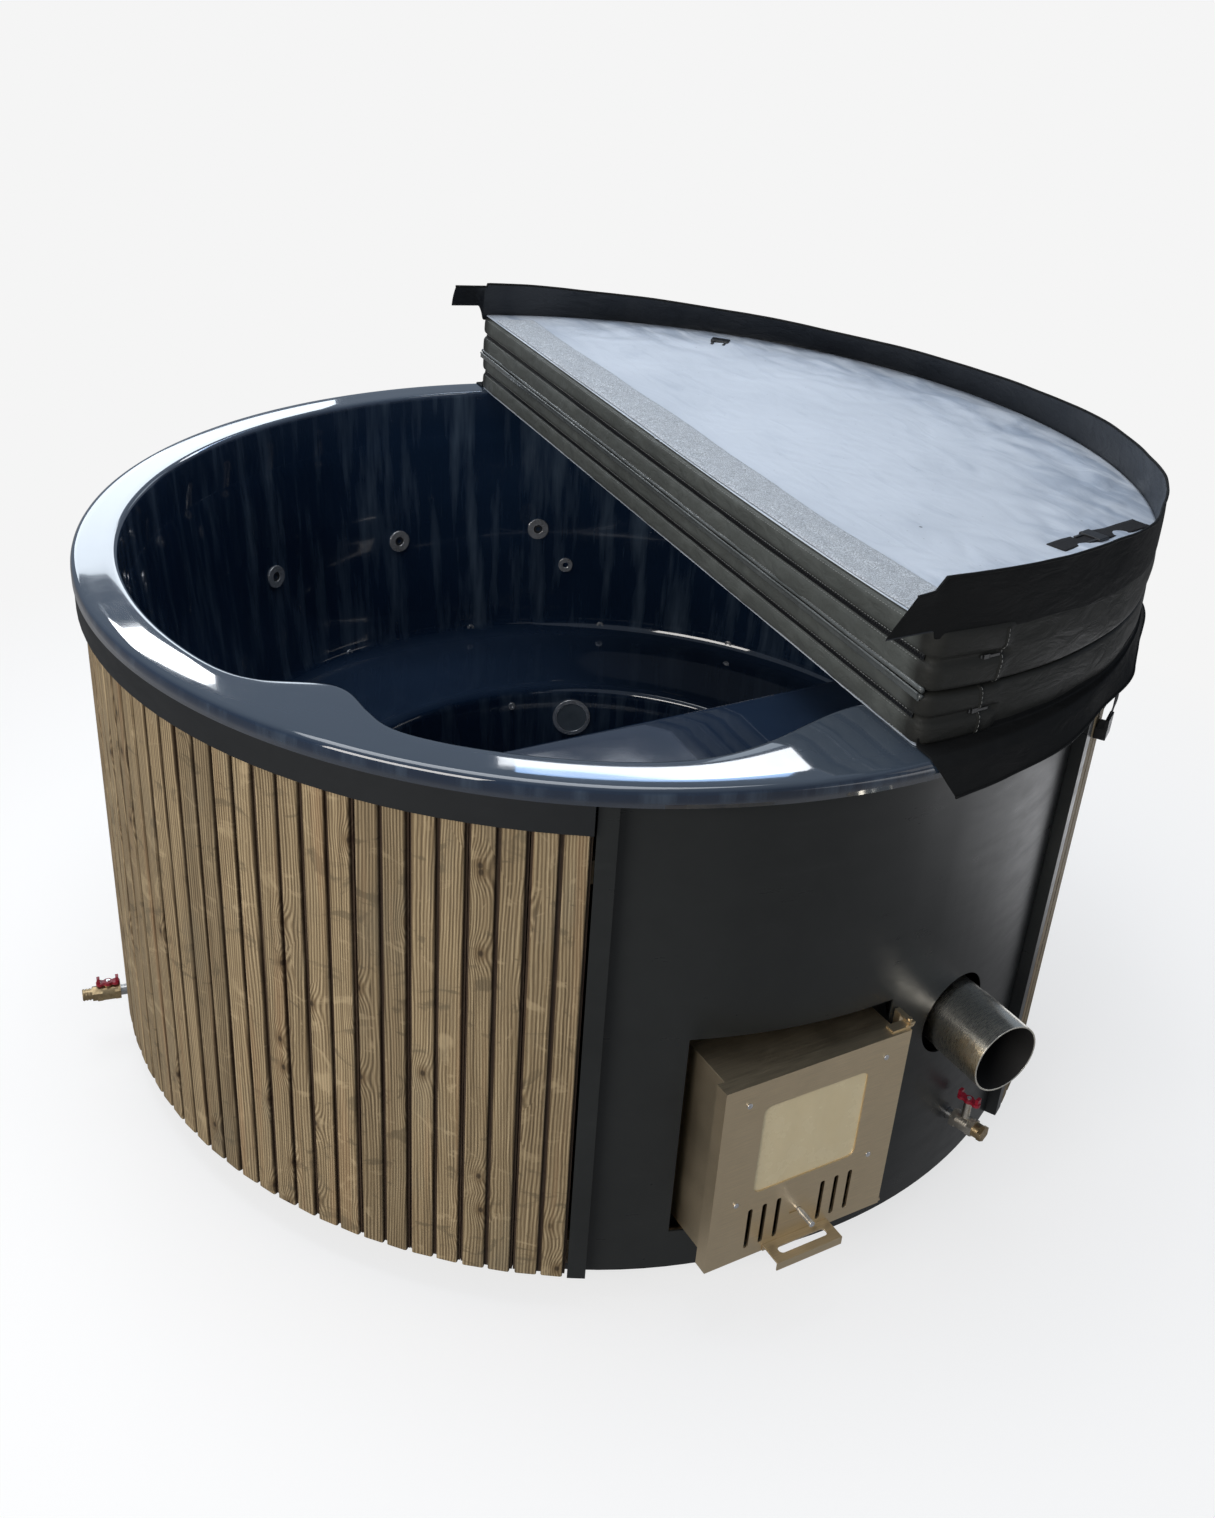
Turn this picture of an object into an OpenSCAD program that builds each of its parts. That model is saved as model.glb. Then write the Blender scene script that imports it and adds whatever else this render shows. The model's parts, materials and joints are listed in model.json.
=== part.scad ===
// Round wood-fired hot tub: moulded liner with a bench, timber cladding, a steel front
// bay with a built-in stove, two drain valves and a folding insulated cover.
// The tub stands on z = 0 and its axis is the Z axis. The stove door faces -Y.

/* [Tub] */
// Radius of the rim's outer edge
rim_r = 985; // [960:5:1050]
// Height of the rim's top face
rim_top = 1047; // [1000:5:1120]
// Width of the rim's flat top, out to its outer edge
rim_w = 75; // [69:1:95]
// Depth of the rim's turned-down lip
lip_drop = 30; // [24:1:36]
// Wall thickness of the moulded liner
liner_t = 8; // [6:0.5:10]
// How much narrower the wall is at bench level than at the rim
wall_lean = 60; // [50:2:75]
// Height of the bench
bench_z = 425; // [400:5:450]
// Radius of the footwell at bench level
foot_r = 550; // [520:5:580]
// How much narrower the footwell is at its floor
foot_draft = 30; // [15:1:40]
// Distance from the axis to the step over the stove
step_d = 540; // [520:5:560]
// Height of the step over the stove
step_z = 947; // [930:1:955]
// Depth of the ledge in the middle of the front
ledge_in = 125; // [100:5:140]
// Depth of the two side ledges
lobe_in = 90; // [70:5:95]

/* [Base] */
// Height of the round plinth
plinth_h = 75; // [60:5:90]
// How far the plinth lies inside the rim's edge
plinth_set = 100; // [85:5:115]
// Thickness of the base deck
deck_t = 15; // [12:1:18]
// Number of notches in the plinth's foot
notch_n = 16; // [12:2:20]

/* [Cladding] */
// Number of boards round the tub
board_n = 56; // [48:1:60]
// Thickness of a board
board_t = 24; // [20:1:26]
// How far the boards' outer faces lie inside the rim's edge
board_set = 14; // [10:1:20]
// Height of the plain band between the boards and the rim's lip
band_h = 48; // [40:1:60]
// Width of the grooves in the boards
groove_w = 7; // [5:0.5:9]
// Depth of the grooves in the boards
groove_d = 8; // [6:0.5:10]
// Half of the angle that the steel front bay takes up
bay_half = 30.2; // [29:0.2:32]
// Width of the corner trims
trim_w = 31; // [26:1:36]
// Thickness of the front sheet
sheet_t = 3; // [2:0.5:4]
// Thickness of the timber battens behind the cladding
batten_t = 22; // [18:1:24]

/* [Stove] */
// Width of the stove door
door_w = 360; // [340:5:370]
// Height of the stove door
door_h = 384; // [370:2:400]
// Depth of the door's folded edges
door_fold = 27; // [24:1:30]
// How far the door's front face stands in front of the sheet
door_out = 50; // [45:1:60]
// Sideways place of the door's centre
door_x = -140; // [-150:1:-130]
// Height of the door's lower edge
door_z = 160; // [150:1:170]
// Thickness of the door's steel
door_t = 2.5; // [2:0.5:3]
// Width of the door's window
window_w = 204; // [190:2:220]
// Height of the door's window
window_h = 182; // [170:2:190]
// Radius of the flue pipe
flue_r = 65; // [55:1:70]
// Sideways place of the flue pipe
flue_x = 203; // [190:1:206]
// Height of the flue pipe's centre
flue_z = 471; // [450:1:490]
// How far the flue pipe stands out from the sheet
flue_out = 112; // [90:2:130]
// Thickness of the stove's steel
steel_t = 4; // [3:0.5:5]
// Thickness of the water space round the fire box
water_gap = 26; // [20:1:30]
// Travel of the air damper
damper_travel = 14; // [12:0.5:15]

/* [Valves] */
// Radius of a valve's bore
valve_bore = 8; // [6:0.5:9]
// Radius of a valve's body
valve_r = 16; // [15:0.5:18]
// Length of a valve's body
valve_l = 46; // [42:1:52]
// Direction of the tub's drain valve
drain_az = 169.5; // [168:0.5:171]
// Height of the tub's drain valve
drain_z = 122; // [118:1:130]
// Direction of the stove's drain valve
stove_valve_az = -74; // [-75:0.5:-73.5]
// Height of the stove's drain valve
stove_valve_z = 208; // [200:1:220]

/* [Fittings] */
// Number of massage jets
jet_n = 6; // [3:1:6]
// Radius of a massage jet's ring
jet_r = 26; // [20:1:30]
// Height of the massage jets
jet_z = 703; // [690:1:720]
// Number of air nozzles
nozzle_n = 6; // [5:1:8]
// Radius of an air nozzle's cap
nozzle_r = 9; // [7:0.5:12]
// Radius of the underwater lamp
lamp_r = 46; // [40:1:50]

/* [Cover] */
// Turn of the cover about the tub's axis
cover_turn = -5.5; // [-8:0.5:0]
// Distance of the fold line from the tub's axis
fold_x = 77; // [70:1:80]
// How far the panels' edge lies inside the rim's edge
panel_set = 50; // [45:1:55]
// Thickness of a panel at the fold
panel_thick = 87; // [80:1:95]
// Thickness of a panel at its outer edge
panel_thin = 66; // [50:1:75]
// Length of the lower skirt along the cover's edge
skirt_l = 96; // [86:1:100]
// Height of the upper skirt, which stands up while the cover is folded
stand_h = 80; // [70:1:90]
// How far the upper skirt's far side leans in at its top
stand_lean = 50; // [0:1:60]
// Thickness of the skirt cloth
skirt_t = 2.4; // [2:0.2:3]
// How far the upper skirt's ends are cut back at the hem, in degrees
upper_cut = 9; // [8:0.5:12]
// How far the lower skirt's ends are cut back at the hem, in degrees
lower_cut = 1.5; // [0:0.5:4]
// Number of shallow folds in a skirt
skirt_folds = 9; // [6:1:12]
// Width of the fleece strip beside the fold
fleece_w = 96; // [80:2:110]
// Width of the strap webbing
strap_w = 38; // [30:1:40]

/* [Hidden] */
$fn = 96;
fit = 0.3;
run_fit = 0.06;
eps = 1;
front = -90;
far = 3000;

// Tub
mouth_r = rim_r - rim_w;
bench_r = mouth_r - wall_lean;
plinth_r = rim_r - plinth_set;
lip_r = rim_r - liner_t;
rim_round = 12;
floor_z = plinth_h + deck_t + liner_t;
step_wall = step_d + liner_t;
lobe_az = 59;
lobe_spread = 7;
ledge_spread = 15.5;
ledge_base = mouth_r - 5;

// Cladding
board_r = rim_r - board_set;
board_in = board_r - board_t;
board_pitch = (360 - 2 * bay_half) / board_n;
board_w = 2 * board_in * tan(board_pitch / 2) - fit;
board_top = rim_top - lip_drop - band_h;
board_h = board_top - plinth_h;
board_corner = norm([board_r, board_w / 2]);
sheet_r = board_in + sheet_t;
trim_r = board_r + 1.5;
trim_h = rim_top - lip_drop - plinth_h - 1;
trim_a = trim_w / board_r * 180 / PI;
bay_edge = bay_half - 0.2;
batten_in = board_in - batten_t;
batten_h = 40;
stud_t = 17;
lower_batten_z = plinth_h + deck_t + 8;
middle_batten_z = 490;
upper_batten_z = 862;
hole_gap = 13;

// Stove
door_d = sheet_r + door_out;
flue_d = sheet_r + flue_out;
flue_start = sheet_r + 2;
flue_wall = 1.5;
stub_r = flue_r - flue_wall;
door_left = door_x - door_w / 2;
door_right = door_x + door_w / 2;
door_top = door_z + door_h;
neck_w = door_w - 34;
neck_h = door_h - 12;
neck_z = door_z + 6;
neck_front = door_d - 17;
gasket_t = 8.5;
neck_side = door_x + neck_w / 2;
stove_back = step_wall + 8;
stove_front = sheet_r - 100;
stove_left = -345;
stove_right = 290;
foot_h = 22;
stove_z = plinth_h + deck_t + foot_h;
stove_top = 720;
fire_left = stove_left + steel_t + water_gap;
fire_right = stove_right - steel_t - water_gap;
fire_back = stove_back + steel_t + water_gap;
fire_z = stove_z + steel_t + water_gap;
fire_top = stove_top - steel_t - water_gap;
fire_t = steel_t + 1;
grate_z = fire_z + 60;
pipe_r = 25;
pipe_x = 70;
pipe_low_z = bench_z + 60;
pipe_high_z = bench_z + 250;
window_z = door_z + 236;
slot_h = 87;
slot_w = 9;
slot_pitch = 28.5;
slot_z = door_z + 23;
slot_group = 146;
knob_z = slot_z + slot_h / 2;
knob_r = 4;
damper_t = 2;
damper_h = slot_h + 13;
guide_gap = 0.8;
screw_dx = 267;
screw_dz = 211;
screw_z = window_z + 3;
screw_hole = 2.6;
hinge_x = door_right + 6;
hinge_d = door_d - 16;
pin_r = 4;
ear_t = 3;

// Valves
drain_r = board_r;
stove_valve_r = sheet_r;
pipe_wall = 2.5;
valve_start = 12;
ball_r = valve_bore * 1.5;
ball_x = valve_start + valve_l / 2;
stem_r = valve_bore / 2;
drain_up = valve_r + 4;
stove_up = valve_r + 34;

// Fittings
jet_first = 118;
jet_step = 23.7;
jet_list = [for (i = [0:jet_n - 1]) jet_first - i * jet_step];
nozzle_first = 104.9;
nozzle_step = 22.8;
nozzle_z = bench_z + 27;
riser_nozzle_az = 81;
jet_body = 0.6 * jet_r;
jet_bore = 0.42 * jet_r;
port_az = 65.8;
port_z = jet_z - 93;
port_r = 18;
port_body = 11;
lamp_az = 65.3;
lamp_z = bench_z - 80;
lamp_body = lamp_r - 8;
cone_slope = (mouth_r - bench_r) / (rim_top - bench_z);
cone_tilt = atan(cone_slope);
foot_slope = foot_draft / (bench_z - floor_z);
foot_tilt = atan(foot_slope);

// Cover
panel_r = rim_r - panel_set;
cover_z = rim_top + 0.5;
fold_z = cover_z + panel_thick;
panel_gap = 0.5;
face_gap = 1.5;
face_x = 9;
welt_r = 4;
lining_t = 1;
roll_r = (panel_thick - panel_gap - lining_t - 2) / 4;
panel_slope = (panel_thick - panel_thin) / panel_r;
fold_tilt = 2 * atan(panel_slope);
hinge_strip_x = 2.2;
hinge_strip_h = 12;
zip_t = 2.5;
zip_h = 8;
zip_z = lining_t + 2 * roll_r;
fleece_t = 3;
skirt_n = 36;
skirt_end = 89.6;
hem_drop = 34;
hem_rise = 24;
hem_spread = 15;
lean_az = 38;
lean_spread = 60;
rim_clear = 5;
strap_dirs = [for (i = [0, 20]) board_az(i)];
strap_t = 2;
// Each: direction, distance in from the panel's edge, turn
strap_spots = [[-56.23, 143.4, 18.6], [53.24, 116.2, 52]];
strap_lengths = [280, 44];
strap_d = rim_r + 2.4;
socket_z = board_top - 74;

function board_az(i) = front + bay_half + (i + 0.5) * board_pitch;
function wall_r(z) = bench_r + (z - bench_z) * cone_slope;
// How far a flat disc of radius r stands off a hollow wall of radius wall
function seat(r, wall) = r * r / (2 * wall) + 0.1;
function riser_r(z) = foot_r - (bench_z - z) * foot_slope;
function pie(r, a0, a1, n = 10) = concat([[0, 0]],
    [for (i = [0:n]) let (a = a0 + (a1 - a0) * i / n) r * [cos(a), sin(a)]]);
function ledge(a) = ledge_in * exp(-pow(a / ledge_spread, 2))
    + lobe_in * exp(-pow((abs(a) - lobe_az) / lobe_spread, 2));

module tube(r_out, r_in, h) {
    difference() {
        cylinder(r = r_out, h = h);
        translate([0, 0, -eps]) cylinder(r = r_in, h = h + 2 * eps);
    }
}

// A ring limited to the directions from a0 to a1
module arc_ring(r_out, r_in, h, a0, a1) {
    intersection() {
        tube(r_out, r_in, h);
        translate([0, 0, -eps]) linear_extrude(h + 2 * eps) polygon(pie(2 * r_out, a0, a1, 16));
    }
}

// A box given by its low and high corners, with distances to the front as positive d
module bay_box(x0, x1, d0, d1, z0, z1) {
    translate([x0, -d1, z0]) cube([x1 - x0, d1 - d0, z1 - z0]);
}

module bay_rod(x, d0, d1, z, r) {
    translate([x, -d0, z]) rotate([90, 0, 0]) cylinder(r = r, h = d1 - d0);
}

// Puts a child that points along +X on the tub at a direction, radius and height
module out_at(az, r, z) {
    rotate([0, 0, az]) translate([r, 0, z]) children();
}

// Puts a child on the liner's wall, pointing out of the tub at right angles to the wall
module on_wall(az, z) {
    out_at(az, wall_r(z), z) rotate([0, cone_tilt, 0]) children();
}

module on_riser(az, z) {
    out_at(az, riser_r(z), z) rotate([0, foot_tilt, 0]) children();
}

module rod_x(r, x0, x1) {
    translate([x0, 0, 0]) rotate([0, 90, 0]) cylinder(r = r, h = x1 - x0);
}

// ---- Base ----
module plinth_ring() {
    color("dimgray") difference() {
        tube(plinth_r, plinth_r - 28, plinth_h);
        for (i = [0:notch_n - 1]) rotate([0, 0, (i + 0.5) * 360 / notch_n])
            translate([plinth_r - 60, -35, -eps]) cube([100, 70, 24 + eps]);
    }
}

module base_joists() {
    joist_w = 45;
    joist_pitch = 200;
    joist_rows = 3;
    inner = plinth_r - 28 - 2;
    color("saddlebrown") for (i = [-joist_rows:joist_rows]) let (y = i * joist_pitch)
        translate([-sqrt(inner * inner - pow(abs(y) + joist_w / 2, 2)), y - joist_w / 2, 0])
            cube([2 * sqrt(inner * inner - pow(abs(y) + joist_w / 2, 2)), joist_w, plinth_h]);
}

module base_deck() {
    color("peru") translate([0, 0, plinth_h]) cylinder(r = batten_in + 15, h = deck_t);
}

// ---- Liner ----
// Plan of the mouth with its ledges, grown outwards by a given distance
module mouth_plan(grow) {
    polygon(concat([for (a = [-88:2:88])
        let (r = mouth_r + 2 + grow - ledge(a)) r * [cos(a + front), sin(a + front)]],
        [for (a = [92, 136, 180, 224, 268]) 1.5 * mouth_r * [cos(a + front), sin(a + front)]]));
}

module stove_space(wall, top) {
    translate([-far, -wall - far, -far]) cube([2 * far, far, far + top]);
}

module liner_outside() {
    difference() {
        intersection() {
            translate([0, 0, bench_z - liner_t]) cylinder(r1 = wall_r(bench_z) + liner_t,
                r2 = mouth_r + liner_t, h = rim_top - bench_z + liner_t);
            translate([0, 0, bench_z - 2 * liner_t]) linear_extrude(rim_top) mouth_plan(liner_t);
        }
        stove_space(step_wall, step_z - liner_t);
    }
    difference() {
        translate([0, 0, floor_z - liner_t]) cylinder(r1 = riser_r(floor_z) + liner_t,
            r2 = foot_r + liner_t, h = bench_z - floor_z + liner_t);
        stove_space(step_wall, step_z);
    }
}

module liner_inside() {
    difference() {
        intersection() {
            translate([0, 0, bench_z]) cylinder(r1 = bench_r, r2 = mouth_r + cone_slope * 10,
                h = rim_top - bench_z + 10);
            translate([0, 0, bench_z - eps]) linear_extrude(rim_top) mouth_plan(0);
        }
        stove_space(step_d, step_z);
    }
    difference() {
        translate([0, 0, floor_z]) cylinder(r1 = riser_r(floor_z), r2 = foot_r + foot_slope,
            h = bench_z - floor_z + 1);
        stove_space(step_d, step_z);
    }
}

module rim_section() {
    corner = rim_r - rim_round;
    translate([corner - 4, rim_top - liner_t]) square([4, liner_t]);
    translate([lip_r, rim_top - lip_drop]) square([liner_t, lip_drop - rim_round]);
    translate([corner, rim_top - rim_round]) intersection() {
        circle(r = rim_round);
        square(rim_round);
    }
    translate([corner, rim_top - rim_round - 4]) square([rim_round, 4]);
}

module rim_deck() {
    translate([0, 0, rim_top - liner_t]) linear_extrude(liner_t) difference() {
        circle(r = rim_r - rim_round - 2);
        intersection() {
            circle(r = mouth_r + 1);
            mouth_plan(1);
        }
    }
}

module liner() {
    color("#1b2733") difference() {
        union() {
            difference() {
                liner_outside();
                liner_inside();
            }
            rotate_extrude() rim_section();
            rim_deck();
        }
        for (z = [pipe_low_z, pipe_high_z]) bay_rod(pipe_x, step_d - eps, step_wall + eps, z, pipe_r);
        out_at(drain_az, riser_r(drain_z), drain_z) rod_x(valve_bore + pipe_wall, -20, 30);
        for (a = jet_list) on_wall(a, jet_z) rod_x(jet_body, -20, 30);
        on_wall(port_az, port_z) rod_x(port_body, -20, 30);
        on_riser(lamp_az, lamp_z) rod_x(lamp_body, -20, 30);
    }
}

module foam_jacket() {
    foam_h = 380;
    foam_top = bench_z + foam_h;
    foam_gap = 0.9;
    color("khaki") difference() {
        translate([0, 0, bench_z]) cylinder(r = batten_in - stud_t - 1, h = foam_top - bench_z);
        translate([0, 0, bench_z - eps]) cylinder(r1 = bench_r + liner_t + foam_gap,
            r2 = wall_r(foam_top) + liner_t + foam_gap, h = foam_top - bench_z + 2 * eps);
        stove_space(step_wall - 40, far);
        for (a = jet_list) on_wall(a, jet_z) rod_x(jet_body + 4, 0, 90);
        on_wall(port_az, port_z) rod_x(port_body + 4, 0, 90);
    }
}

// ---- Cladding and its carriers ----
module wall_studs() {
    stud_n = 9;
    stud_w = 60;
    z0 = plinth_h + deck_t;
    span = 360 - 2 * bay_half - 14;
    color("burlywood") for (i = [0:stud_n - 1])
        rotate([0, 0, front + bay_half + 7 + span * i / (stud_n - 1)])
            translate([batten_in - stud_t, -stud_w / 2, z0])
                cube([stud_t - 0.5, stud_w, upper_batten_z + batten_h - z0]);
}

module batten(z, a0, a1) {
    color("burlywood") translate([0, 0, z]) arc_ring(board_in, batten_in, batten_h, a0, a1);
}

module wall_battens() {
    gap = bay_edge + 1;
    difference() {
        batten(lower_batten_z, front - bay_edge, front + 360 - bay_edge);
        out_at(drain_az, batten_in - 10, drain_z) rod_x(valve_bore + pipe_wall + 1, 0, 60);
    }
    batten(middle_batten_z, front + gap, front + 360 - gap);
    batten(upper_batten_z, front - bay_edge, front + 360 - bay_edge);
}

// Plan of one board, with its thickness along +X
module board_plan() {
    w = board_w / 2;
    g = groove_w / 2;
    t = board_t;
    d = t - groove_d;
    polygon([[0, -w], [d, -w], [d, -w + g - 0.5], [t - 1, -w + g], [t, -w + g + 1],
        [t, -g - 1], [t - 1, -g], [d, -g + 1], [d, g - 1], [t - 1, g], [t, g + 1],
        [t, w - g - 1], [t - 1, w - g], [d, w - g + 0.5], [d, w], [0, w]]);
}

module cladding_boards() {
    color("#8c7860") difference() {
        for (i = [0:board_n - 1]) rotate([0, 0, board_az(i)])
            translate([board_in, 0, plinth_h]) linear_extrude(board_h) board_plan();
        out_at(drain_az, board_in - 10, drain_z) rod_x(valve_bore + pipe_wall + 1, 0, 60);
    }
}

module top_band() {
    band_in = board_corner + 0.3;
    overlap = 3;
    color("#4a4d4c") translate([0, 0, board_top - overlap])
        arc_ring(rim_r - 2, band_in, band_h + overlap,
            front + bay_half, front + 360 - bay_half);
}

module front_sheet() {
    sheet_top = rim_top - liner_t - 3;
    color("#2b2d2e") difference() {
        translate([0, 0, plinth_h]) arc_ring(sheet_r, board_in, sheet_top - plinth_h,
            front - bay_edge, front + bay_edge);
        bay_box(door_left - 3, door_right - 4, board_in - 250, sheet_r + 200, door_z - 3, door_top + 28);
        bay_rod(flue_x, board_in - 250, sheet_r + 200, flue_z, flue_r + hole_gap);
        on_stove_valve() rod_x(valve_bore + pipe_wall + 1, -60, 60);
    }
}

// Corner trim of the bay: a face in line with the boards and a return to the sheet
module trim(side) {
    fold_t = 2;
    fold_a = fold_t / board_r * 180 / PI;
    a = front + side * (bay_edge - trim_a / 2);
    b = front + side * (bay_edge - trim_a + fold_a / 2);
    color("#232526") translate([0, 0, plinth_h]) {
        arc_ring(trim_r, trim_r - fold_t, trim_h, a - trim_a / 2, a + trim_a / 2);
        arc_ring(trim_r, sheet_r, trim_h, b - fold_a / 2, b + fold_a / 2);
    }
}

module bay_trims() {
    for (side = [-1, 1]) trim(side);
}

// ---- Stove ----
module neck_cut() {
    bay_box(door_x - neck_w / 2, neck_side, stove_front - 150, stove_front + eps,
        neck_z, neck_z + neck_h);
}

module stove_jacket() {
    foot_in = 50;
    color("#3a3a38") for (x = [stove_left + foot_in, stove_right - foot_in])
        for (d = [stove_back + foot_in, stove_front - foot_in])
            translate([x, -d, plinth_h + deck_t]) cylinder(r = 20, h = foot_h);
    color("#3a3a38") difference() {
        bay_box(stove_left, stove_right, stove_back, stove_front, stove_z, stove_top);
        bay_box(stove_left + steel_t, stove_right - steel_t, stove_back + steel_t,
            stove_front - steel_t, stove_z + steel_t, stove_top - steel_t);
        neck_cut();
        bay_rod(flue_x, stove_front - 150, stove_front + eps, flue_z, stub_r);
        for (z = [pipe_low_z, pipe_high_z]) bay_rod(pipe_x, step_wall - 20, stove_back + 20, z, pipe_r);
        on_stove_valve() rod_x(valve_bore + pipe_wall, -140, 0);
    }
}

module firebox() {
    baffle_x = neck_side + 40;
    color("#4b4a46") bay_box(baffle_x, baffle_x + fire_t, fire_back + fire_t, stove_front - steel_t - fire_t,
        fire_z + fire_t, fire_top - 120);
    color("#4b4a46") difference() {
        bay_box(fire_left, fire_right, fire_back, stove_front - steel_t, fire_z, fire_top);
        bay_box(fire_left + fire_t, fire_right - fire_t, fire_back + fire_t,
            stove_front - steel_t - fire_t, fire_z + fire_t, fire_top - fire_t);
        neck_cut();
        bay_rod(flue_x, stove_front - 150, stove_front + eps, flue_z, stub_r);
    }
}

module fire_grate() {
    bar_n = 14;
    g0 = fire_left + fire_t;
    g1 = neck_side + 40;
    d0 = fire_back + fire_t;
    d1 = stove_front - steel_t - fire_t;
    color("#333230") {
        for (i = [0:bar_n - 1]) bay_box(g0 + 12 + i * (g1 - g0 - 34) / (bar_n - 1),
            g0 + 22 + i * (g1 - g0 - 34) / (bar_n - 1), d0, d1, grate_z, grate_z + 10);
        bay_box(g0, g1, d0, d0 + 14, grate_z - 10, grate_z);
        bay_box(g0, g1, d1 - 14, d1, grate_z - 10, grate_z);
        for (x = [g0 + 12, g1 - 22]) for (d = [d0, d1 - 14])
            bay_box(x, x + 10, d, d + 14, fire_z + fire_t, grate_z - 10);
    }
}

module neck_plan(grow) {
    translate([door_x - neck_w / 2 - grow, neck_z - grow]) square([neck_w + 2 * grow, neck_h + 2 * grow]);
}

module door_neck() {
    wall = 3;
    color("#8a7f6c") translate([0, -neck_front, 0]) mirror([0, 1, 0]) rotate([90, 0, 0]) linear_extrude(
        neck_front - stove_front + steel_t + fire_t) difference() {
        neck_plan(0);
        neck_plan(-wall);
    }
}

module neck_gasket() {
    color("#b8b2a2") translate([0, -neck_front - gasket_t, 0]) mirror([0, 1, 0]) rotate([90, 0, 0])
        linear_extrude(gasket_t)
        difference() {
            neck_plan(0);
            neck_plan(-9);
        }
}

module flue_pipe() {
    color("#5d5a54") difference() {
        union() {
            bay_rod(flue_x, stove_front - steel_t - fire_t, flue_start + 28, flue_z, stub_r);
            bay_rod(flue_x, stove_front, stove_front + 5, flue_z, stub_r + 18);
            bay_rod(flue_x, flue_start, flue_d, flue_z, flue_r);
        }
        bay_rod(flue_x, stove_front - 40, flue_d + eps, flue_z, stub_r - flue_wall);
    }
}

// Post beside the neck with the door's two pivot pins
module hinge_post() {
    post_d = door_d - door_fold - 8;
    tab_low = door_z - ear_t - 0.5;
    tab_high = door_top + ear_t + 0.5;
    color("#8f846f") {
        bay_box(hinge_x - 4, hinge_x + 6, post_d - 14, post_d, tab_low - 4, tab_high + 4);
        for (z = [tab_low - 4, tab_high])
            bay_box(hinge_x - 4, hinge_x + 6, post_d - 1, hinge_d + 8, z, z + 4);
        for (z = [door_z + 30, door_top - 50])
            bay_box(neck_side, hinge_x, post_d - 12, post_d - 4, z, z + 20);
        for (z = [tab_low - 8, tab_high - 12]) translate([hinge_x, -hinge_d, z]) cylinder(r = pin_r, h = 20);
    }
}

module water_pipes() {
    color("#6b6a66") for (z = [pipe_low_z, pipe_high_z]) difference() {
        bay_rod(pipe_x, step_d, stove_back + steel_t, z, pipe_r);
        bay_rod(pipe_x, step_d - eps, stove_back + steel_t + eps, z, pipe_r - 2);
    }
}

module water_port_rings() {
    color("gainsboro") for (z = [pipe_low_z, pipe_high_z]) difference() {
        bay_rod(pipe_x, step_d - 6, step_d, z, pipe_r + 12);
        for (dz = [-12, 0, 12]) translate([pipe_x - 18, -step_d - eps, z + dz - 3]) cube([36, 10, 6]);
    }
}

// ---- Drains and valves, drawn along +X from the outside of the tub ----
module pipe_from(start) {
    difference() {
        rod_x(valve_bore + pipe_wall, start, valve_start + 6);
        rod_x(valve_bore, start - eps, valve_start + 7);
    }
}

module drain_pipes() {
    color("gainsboro") {
        on_drain() pipe_from(riser_r(drain_z) + 6 - drain_r);
        on_stove_valve() pipe_from((stove_front - 1) / abs(sin(stove_valve_az)) - stove_valve_r);
    }
}

module drain_sieve() {
    sieve_r = 20;
    face = seat(sieve_r, riser_r(drain_z));
    color("silver") on_riser(drain_az, drain_z) difference() {
        rod_x(sieve_r, -face - 3, -face);
        for (y = [-10, 0, 10]) translate([-face - 4, y - 2, -11]) cube([6, 4, 22]);
    }
}

// up is the height of the lever above the pipe
module valve_body(up) {
    difference() {
        union() {
            rod_x(valve_r, valve_start + 6, valve_start + valve_l - 6);
            translate([valve_start, 0, 0]) rotate([0, 90, 0]) cylinder(r = valve_r + 2, h = 11, $fn = 6);
            translate([valve_start + valve_l - 11, 0, 0]) rotate([0, 90, 0])
                cylinder(r = valve_r + 2, h = 11, $fn = 6);
            translate([ball_x, 0, 0]) cylinder(r = stem_r + 3.5, h = up - 1);
        }
        rod_x(valve_bore, valve_start - eps, valve_start + valve_l + eps);
        rod_x(valve_bore + pipe_wall, valve_start - eps, valve_start + 6);
        translate([ball_x, 0, 0]) sphere(r = ball_r + fit);
        translate([ball_x, 0, 0]) cylinder(r = stem_r + run_fit, h = up + 10);
    }
}

module valve_ball(up) {
    difference() {
        union() {
            translate([ball_x, 0, 0]) sphere(r = ball_r);
            translate([ball_x, 0, 0]) cylinder(r = stem_r, h = up + 9);
        }
        rod_x(valve_bore - 0.5, ball_x - ball_r - 5, ball_x + ball_r + 5);
    }
}

module valve_handle(up) {
    wing = 15;
    translate([ball_x, 0, up]) difference() {
        union() {
            cylinder(r = 9, h = 7);
            for (s = [-1, 1]) {
                translate([s * wing, 0, 0]) cylinder(r = 8, h = 6);
                translate([s * wing / 2 - wing / 2, -6, 0]) cube([wing, 12, 6]);
                translate([s * (wing + 3) - 3, -5, 0]) cube([6, 10, 17]);
            }
        }
        translate([0, 0, -eps]) cylinder(r = stem_r, h = 20);
    }
}

module on_drain() {
    out_at(drain_az, drain_r, drain_z) children();
}

module on_stove_valve() {
    out_at(stove_valve_az, stove_valve_r, stove_valve_z) children();
}

module drain_valve_body() {
    color("#b9a67c") on_drain() valve_body(drain_up);
}

module drain_valve_ball() {
    color("silver") on_drain() valve_ball(drain_up);
}

module drain_valve_handle() {
    color("firebrick") on_drain() valve_handle(drain_up);
}

module drain_hose_tail() {
    x0 = valve_start + valve_l;
    color("#a8843f") on_drain() difference() {
        union() {
            translate([x0, 0, 0]) rotate([0, 90, 0]) cylinder(r = valve_r, h = 9, $fn = 6);
            rod_x(valve_bore + 3, x0 + 8, x0 + 28);
            for (i = [0:2]) rod_x(valve_bore + 4, x0 + 12 + i * 6, x0 + 15 + i * 6);
        }
        rod_x(valve_bore, x0 - eps, x0 + 30);
    }
}

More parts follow.
